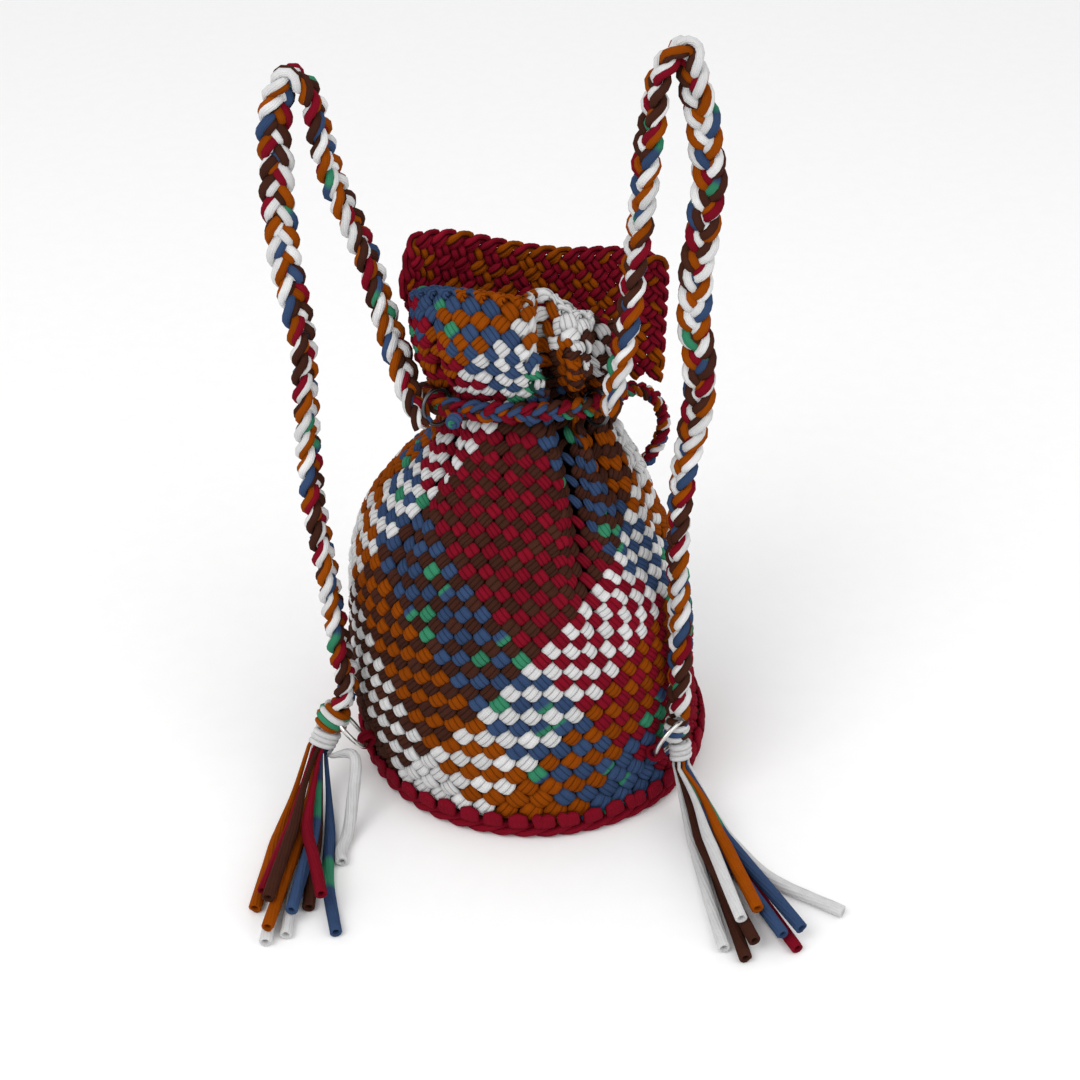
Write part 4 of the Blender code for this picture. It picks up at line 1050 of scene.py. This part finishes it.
class BACKPACK_OT_tassels(bpy.types.Operator):
    """Adds the loose yarns that end the straps, each a cord cut off bare"""
    bl_idname = "backpack.tassels"
    bl_label = "Tassels"

    def strand(self, side, number, route, swell, colour, layer):
        """A tube along a smooth curve through the route, with a rolled hollow in its cut end."""
        rows = np.column_stack([np.asarray(route), swell])
        rows = np.concatenate([rows[:1], along(rows[1:], 30)])
        rows[:, 2] = np.maximum(rows[:, 2], lying(layer))
        path, girth = rows[:, :3], rows[:, 3]
        ahead = unit(slopes(path))
        length = lengths(path)
        end, way = path[-1], ahead[-1]
        hollow = self.settings.hollow
        inner = [end + way * 0.0006, end - way * hollow * 0.4, end - way * hollow]
        full = np.concatenate([path, inner])
        way_all = np.concatenate([ahead, [way] * 3])
        size = np.concatenate([girth, [0.62, 0.46, 0.40]]) * YARN / 2
        twist = 1.3 * number + 9.0 * np.concatenate([length, [length[-1]] * 3])
        flat = rounded(12, self.settings.groove)
        turned = np.stack([
            flat[None, :, 0] * np.cos(twist)[:, None] - flat[None, :, 1] * np.sin(twist)[:, None],
            flat[None, :, 0] * np.sin(twist)[:, None] + flat[None, :, 1] * np.cos(twist)[:, None]], axis=-1)
        up = np.array([0.05, 0.3, 1.0])
        grid = sweep(full[None], way_all[None], np.broadcast_to(up, full.shape)[None], size[None], size[None],
                     turned[None])
        piece = Piece()
        far = np.concatenate([length, length[-1] + np.array([0.002, 0.004, 0.006])])
        piece.add(grid, far[None], dyed([colour], far[None], 900 + 40 * (side == "right") + number))
        node = f"tassel_{side}_{number}"
        item = piece.woven(node + "_yarn", f"tassel_{side}_{number}_yarn", node)

    def execute(self, context):
        self.settings = context.scene.backpack_yarn
        for side, plan in TASSELS.items():
            axis = unit(STRAP_ENDS[side])
            start = np.array(STRAP_ROUTES[side][-1][:3])
            start = start + axis * (STRAP_KNOT_LENGTH + BINDING_LENGTH + 3 * GAP)
            for number, strand in enumerate(plan["strands"]):
                route, swell = strand_route(side, strand, start, axis)
                self.strand(side, number + 1, route, swell, strand[2], strand[0])
            if "stray" in plan:
                colour, layer, place, points = plan["stray"]
                slot = strand_slot(start, axis, layer, place)
                route = [slot, slot + axis * STRAND_STRAIGHT, *points]
                swell = [YARN_IN_BINDING, YARN_IN_BINDING, YARN_LANDED] + [1.0] * (len(points) - 1)
                self.strand(side, len(plan["strands"]) + 1, route, swell, colour, 0)
        return {"FINISHED"}


class BACKPACK_OT_wall(bpy.types.Operator):
    """Adds the bag's wall: two families of strands over and under each other, rolled inward at the rim"""
    bl_idname = "backpack.wall"
    bl_label = "Woven wall"

    def execute(self, context):
        for name, sign, runs, seed in (("wall_falling", -1, FALLING_BANDS, 11), ("wall_rising", 1, RISING_BANDS, 12)):
            for half, piece in zip(("_a", "_b"), wall_strands(sign, runs, seed)):
                piece.woven(name + half, "wall_yarn", "woven_wall")
        return {"FINISHED"}


class BACKPACK_OT_base(bpy.types.Operator):
    """Adds the base: a disc of coiled yarn, the plait round it and the stitches that sew the wall to it"""
    bl_idname = "backpack.base"
    bl_label = "Base"

    def execute(self, context):
        inside = BASE_DIAMETER / 2 - EDGE_WIDTH
        up = np.array([0.0, 0.0, 1.0])
        turns = (inside - 0.006) / COIL_PITCH
        share = np.sqrt(np.linspace(0.0, 1.0, round(turns * 42)))
        turn = 2 * math.pi * turns * share
        reach = 0.003 + (inside - 0.007) * share
        middle = np.full(len(turn), BASE_THICKNESS / 2)
        line = np.stack([reach * np.sin(turn), -reach * np.cos(turn), middle], axis=-1)
        disc = Piece()
        disc.yarn(line, up, COIL_PITCH * 0.52, BASE_THICKNESS / 2, "crimson", 31)
        disc.woven("base_coil", "base_yarn", "base_disc")

        turn = np.arange(420) * 2 * math.pi / 420
        out = np.stack([np.sin(turn), -np.cos(turn), 0 * turn], axis=-1)
        middle = out * (inside + EDGE_WIDTH / 2) + up * (EDGE_HEIGHT / 2 + PLAIT_RAISED)
        plait = Piece()
        for k in range(3):
            phase = PLAIT_TURNS * turn + 2 * math.pi * k / 3
            line = middle + (PLAIT_REACH[0] * np.cos(phase))[:, None] * out
            line = line + (PLAIT_REACH[1] * np.sin(phase))[:, None] * up
            plait.yarn(line, up, PLAIT_YARN, PLAIT_YARN, "crimson", 40 + k, rounded(10), closed=True)
        plait.woven("base_plait", "edge_yarn", "base_edge_plait")
        self.stitches().woven("base_stitches", "edge_yarn", "base_edge_plait")
        return {"FINISHED"}

    def stitches(self):
        """A stitch at each strand, or two narrow ones, whose bulge is the root of one less a high power."""
        share = np.linspace(0, 1, 9)
        noise = np.random.default_rng(5)
        piece = Piece()
        bulge = np.sqrt(1 - (2 * share - 1) ** 8) * (1 - 0.15 * share)
        for number in range(WALL_STRANDS):
            split = noise.random() < 0.35
            parts = [(-0.24, 0.55, -0.10), (0.16, 0.75, 0.10)] if split else [(0.0, 1.0, 0.05)]
            for shift, size, lean in parts:
                column = number + TWIST[0] + shift + lean * (share - 0.5) + noise.normal(0, 0.02)
                arcs = 0.0004 + (STITCH_LENGTH + noise.normal(0, 0.0006)) * share * (0.85 + 0.15 * size)
                at, normal, _ = (rows[0] for rows in wall_frames(angles_at(column[None], arcs), arcs[None]))
                line = at + normal * (0.0016 * bulge - 0.0010)[:, None]
                piece.yarn(line, normal, STITCH_WIDE[0] + STITCH_WIDE[1] * size * bulge,
                           STITCH_HIGH[0] + STITCH_HIGH[1] * bulge, "crimson", 55 + number, BOXY)
        return piece


class BACKPACK_OT_straps(bpy.types.Operator):
    """Adds both straps: flat braids of yarns in all the colours, slimmer where they start at the neck rings"""
    bl_idname = "backpack.straps"
    bl_label = "Straps"

    def execute(self, context):
        for k, side in enumerate(("left", "right")):
            path, ahead, broad = strap_path(side, 300)
            kept = lengths(path) >= STRAP_START[side]
            path, ahead, broad = path[kept], ahead[kept], broad[kept]
            piece = Piece()
            size = np.interp(lengths(path), *STRAP_TAPER)
            braid(piece, path, ahead, broad, STRAP_WIDTH, STRAP_THICKNESS, STRAP_STRANDS, 100 + 20 * k, size=size)
            piece.woven("strap_braid_" + side, "strap_yarn_" + side, "strap_" + side)
        return {"FINISHED"}


class BACKPACK_OT_strap_ends(bpy.types.Operator):
    """Adds what ends the straps: wound knots, bindings and the yarn loops that hold the base rings"""
    bl_idname = "backpack.strap_ends"
    bl_label = "Strap ends"

    def execute(self, context):
        for k, side in enumerate(("left", "right")):
            end = np.array(STRAP_ROUTES[side][-1][:3])
            axis = unit(STRAP_ENDS[side])
            wide = unit(np.cross([0.0, 1.0, 0.0], axis))
            start = end + axis * GAP
            names = KNOT_YARNS[side]
            outer = (STRAP_KNOT_RADIUS - KNOT_YARN[0]) * KNOT_SHARE[side]
            inner = outer - KNOT_YARN[1]
            knot = Piece()
            coil(knot, start + axis * 0.001, axis + 0.25 * wide, wide, STRAP_KNOT_LENGTH - 0.002, outer, outer,
                 KNOT_TURNS, KNOT_YARN[0], names, 160 + k, belly=0.35)
            coil(knot, start + axis * 0.002, axis - 0.2 * wide, wide, STRAP_KNOT_LENGTH - 0.004, inner, inner,
                 KNOT_TURNS, KNOT_YARN[1], names[::-1], 165 + k, belly=0.3)
            knot.woven("knot_winding_" + side, "knot_yarn_" + side, "strap_knot_" + side)

            bound = start + axis * (STRAP_KNOT_LENGTH + GAP)
            half = BINDING_WIDTH / 2 * BINDING_SHARE[side] - BINDING_INSET
            deep = BINDING_DEPTH / 2 - BINDING_INSET
            band = Piece()
            for inset, seed in ((0.0, 170), (0.0028, 175)):
                coil(band, bound + axis * 0.0005, axis, wide, BINDING_LENGTH - 0.001, half - inset, deep - inset,
                     BINDING_TURNS, BINDING_YARN, ["white"], seed + k)
            band.woven("binding_winding_" + side, "binding_yarn_" + side, "tassel_binding_" + side)
            self.loops(side).woven("ring_loops_" + side, "loop_yarn_" + side, "base_loop_" + side)
        return {"FINISHED"}

    def loops(self, side):
        """Two oval loops of yarn side by side, from the wall round the wire of the base ring."""
        seat, out = base_ring_seat(side)
        center, ring_axis = ring_place("base_ring_" + side)
        held = seat + out * LOOP_LENGTH * LOOP_SHARE
        wire = unit(np.cross(ring_axis, unit(center - held)))
        high = unit(np.cross(wire, out))
        turn = np.linspace(0, 2 * math.pi, 26)[:-1]
        piece = Piece()
        for number, shift in enumerate((-0.0021, 0.0021)):
            line = seat + out * (LOOP_LENGTH * 0.42 + 0.0046 * np.cos(turn))[:, None]
            line = line + high * (0.0036 * np.sin(turn))[:, None] + wire * (shift * (1 + 0.3 * np.cos(turn)))[:, None]
            piece.yarn(line, line - line.mean(axis=0), 0.0020, 0.0017, "crimson", 180 + number, closed=True)
        return piece


def ring_place(ring):
    """Middle and axis of a ring, which are those of the joint that it turns on."""
    joint = next(joint for joint in frame["joints"] if joint["child"] == ring)
    return np.array(joint["pos_m"]), np.array(joint["axis"])


class BACKPACK_OT_rings(bpy.types.Operator):
    """Adds the four metal rings, each turning on a body of its own"""
    bl_idname = "backpack.rings"
    bl_label = "Rings"

    def ring(self, name, radius, wire, slot, material):
        """A circle about the ring's axis, with a round section."""
        center, axis = ring_place(name)
        around = np.linspace(0, 2 * math.pi, 97)[:-1]
        axis = unit(axis)
        first = unit(np.cross(axis, [0.0, 0.0, 1.0]))
        second = np.cross(axis, first)
        out = np.cos(around)[:, None] * first + np.sin(around)[:, None] * second
        line = center + out * radius
        piece = Piece()
        grid = sweep(line[None], slopes(line, True)[None], out[None], wire / 2, wire / 2, rounded(16))
        piece.add(grid, lengths(line)[None], np.ones((1, len(line), 3)), closed=True)
        piece.make(name + "_wire", name, slot, material, name)

    def execute(self, context):
        dark = metal("ring_gunmetal", (0.10, 0.10, 0.105), 0.24)
        bright = metal("ring_silver", (0.66, 0.65, 0.63), 0.22)
        for side in TASSELS:
            self.ring("neck_ring_" + side, NECK_RING_RADIUS, NECK_RING_WIRE, "neck_ring_metal_" + side, dark)
            self.ring("base_ring_" + side, BASE_RING_RADIUS, BASE_RING_WIRE, "base_ring_metal_" + side, bright)
        return {"FINISHED"}


class BACKPACK_OT_drawstring(bpy.types.Operator):
    """Adds the braided drawstring round the neck, with its knotted end, and the carry loop"""
    bl_idname = "backpack.drawstring"
    bl_label = "Drawstring and carry loop"

    def execute(self, context):
        turn = np.arange(260) * 2 * math.pi / 260
        middle, out, ahead = drawstring_line(turn)
        cord = Piece()
        braid(cord, middle, ahead, np.cross(out, ahead), DRAWSTRING, DRAWSTRING, DRAWSTRING_STRANDS, 200, closed=True)
        cord.woven("drawstring_braid", "drawstring_yarn", "drawstring")

        at, out, ahead = drawstring_line(math.radians(KNOT_ANGLE))
        start = at + out * (DRAWSTRING / 2 + GAP) - np.array([0, 0, KNOT_DROP])
        knot = Piece()
        coil(knot, start + out * 0.0005, out, ahead, KNOT_LENGTH - 0.001, KNOT_RADIUS - 0.0035, KNOT_RADIUS - 0.0035,
             3, 0.0018, ["crimson", "blue", "blue"], 230, belly=0.4)
        coil(knot, start + out * 0.0005, out, ahead, KNOT_LENGTH - 0.0010, 0.0011, 0.0011, 2, 0.0014, ["green"], 235)
        knot.woven("drawstring_end", "drawstring_knot_yarn", "drawstring_knot")

        first, last = (wall_point(math.radians(turn), share * NECK_ARC) for turn, share in CARRY_SEATS)
        way = np.linspace(0.0, 1.0, len(CARRY_ROUTE))[:, None]
        path = along(np.array(CARRY_ROUTE) + first * (1 - way) + last * way, 90)
        broad = np.tile([0.0, 1.0, 0.3], (len(path), 1))
        loop = Piece()
        braid(loop, path, slopes(path), broad, CARRY_LOOP, CARRY_LOOP, CARRY_STRANDS, 240)
        loop.woven("carry_braid", "carry_yarn", "carry_loop")
        return {"FINISHED"}


class BACKPACK_OT_flap(bpy.types.Operator):
    """Adds the flap: yarns woven both ways that turn back at its edges"""
    bl_idname = "backpack.flap"
    bl_label = "Flap"

    def execute(self, context):
        flap_piece().woven("flap_weave", "flap_yarn", "flap")
        return {"FINISHED"}


class BACKPACK_OT_stage(bpy.types.Operator):
    """Adds the pale floor, the soft lights and the surroundings, which the camera and the metal see as white"""
    bl_idname = "backpack.stage"
    bl_label = "Stage"

    def light(self, name, place, target, size, power):
        """Round soft light that faces its target."""
        data = bpy.data.lights.new(name, "AREA")
        data.shape = "DISK"
        data.size = size
        data.energy = power
        item = bpy.data.objects.new(name, data)
        item.location = place
        item.rotation_euler = (mathutils.Vector(target) - mathutils.Vector(place)).to_track_quat("-Z", "Y").to_euler()
        bpy.context.scene.collection.objects.link(item)

    def execute(self, context):
        stage = context.scene.backpack_stage
        mesh = bpy.data.meshes.new("floor")
        half = 6.0
        mesh.from_pydata([(-half, -half, 0), (half, -half, 0), (half, half, 0), (-half, half, 0)], [], [(0, 1, 2, 3)])
        floor = bpy.data.objects.new("floor", mesh)
        context.scene.collection.objects.link(floor)
        maker = Maker(bpy.data.materials.new("floor_paper"))
        grain = maker.noise(maker.node("ShaderNodeTexCoord", {}, output=3), 60.0, 2.0)
        tint = maker.mix(grain, (0.93, 0.93, 0.93, 1.0), (0.96, 0.96, 0.96, 1.0))
        mesh.materials.append(maker.finish(maker.node(
            "ShaderNodeBsdfPrincipled", {}, tint, named={"Roughness": 0.9, "Specular IOR Level": 0.1})))
        self.light("key", (-0.9, -1.1, 1.7), (0, 0, 0.15), 1.3, stage.key_power)
        self.light("fill", (1.3, -0.9, 1.2), (0, 0, 0.15), 1.5, stage.fill_power)
        sky = Maker(bpy.data.worlds.new("surroundings"))
        rays = sky.node("ShaderNodeLightPath", {})
        white = rays + rays.other("Is Glossy Ray") + rays.other("Is Transmission Ray")
        tint = sky.mix(white, (stage.ambient,) * 3 + (1.0,), (1.0, 1.0, 1.0, 1.0))
        context.scene.world = sky.finish(sky.node("ShaderNodeBackground", {}, tint), "ShaderNodeOutputWorld")
        context.scene.view_settings.view_transform = "Standard"
        return {"FINISHED"}


def colour_of(name):
    """Property for the colour of a yarn."""
    return bpy.props.FloatVectorProperty(
        name=name.capitalize(), description=f"Linear colour of the {name} yarn", default=YARNS[name],
        subtype="COLOR", min=0.0, max=1.0)


class BackpackColours(bpy.types.PropertyGroup):
    """The colours of the yarns"""
    crimson: colour_of("crimson")
    brown: colour_of("brown")
    orange: colour_of("orange")
    blue: colour_of("blue")
    green: colour_of("green")
    white: colour_of("white")


class BackpackYarn(bpy.types.PropertyGroup):
    """How the yarns look"""
    wall_yarn: bpy.props.FloatProperty(
        name="Wall yarn", description="Half the height of a strand of the wall", default=WALL_YARN, unit="LENGTH")
    groove: bpy.props.FloatProperty(
        name="Groove", description="Depth of the groove along a loose yarn, as a share of its radius",
        default=0.24, unit="NONE")
    hollow: bpy.props.FloatProperty(
        name="Hollow", description="Depth of the rolled hollow in a cut end", default=0.006, unit="LENGTH")


class BackpackStage(bpy.types.PropertyGroup):
    """The camera and the light"""
    lens: bpy.props.FloatProperty(
        name="Lens", description="Focal length in millimetres on a 36 mm sensor", default=CAMERA_LENS, unit="NONE")
    key_power: bpy.props.FloatProperty(
        name="Key power", description="Power of the light at the upper left", default=15.0, unit="POWER")
    fill_power: bpy.props.FloatProperty(
        name="Fill power", description="Power of the light at the right", default=6.0, unit="POWER")
    ambient: bpy.props.FloatProperty(
        name="Ambient", description="Brightness of the surroundings, where 1 is white", default=0.86, unit="NONE")


class BACKPACK_PT_panel(bpy.types.Panel):
    """Sidebar panel with the operators in the order in which they run"""
    bl_label = "Woven backpack"
    bl_space_type = "VIEW_3D"
    bl_region_type = "UI"
    bl_category = "Backpack"

    def draw(self, context):
        layout = self.layout
        for name in GROUPS:
            group = getattr(context.scene, name)
            for value in group.__annotations__:
                layout.prop(group, value)
        for operator in OPERATORS:
            layout.operator(operator.bl_idname)


OPERATORS = [
    BACKPACK_OT_camera, BACKPACK_OT_tassels, BACKPACK_OT_wall, BACKPACK_OT_base, BACKPACK_OT_straps,
    BACKPACK_OT_strap_ends, BACKPACK_OT_rings, BACKPACK_OT_drawstring, BACKPACK_OT_flap, BACKPACK_OT_stage,
]
GROUPS = {"backpack_colours": BackpackColours, "backpack_yarn": BackpackYarn, "backpack_stage": BackpackStage}
CLASSES = [*GROUPS.values(), *OPERATORS, BACKPACK_PT_panel]


def register():
    for item in CLASSES:
        bpy.utils.register_class(item)
    for name, group in GROUPS.items():
        setattr(bpy.types.Scene, name, bpy.props.PointerProperty(type=group))


def unregister():
    for name in GROUPS:
        delattr(bpy.types.Scene, name)
    for item in reversed(CLASSES):
        bpy.utils.unregister_class(item)


def main():
    register()
    for operator in OPERATORS:
        group, name = operator.bl_idname.split(".")
        getattr(getattr(bpy.ops, group), name)()


if __name__ == "__main__":
    main()
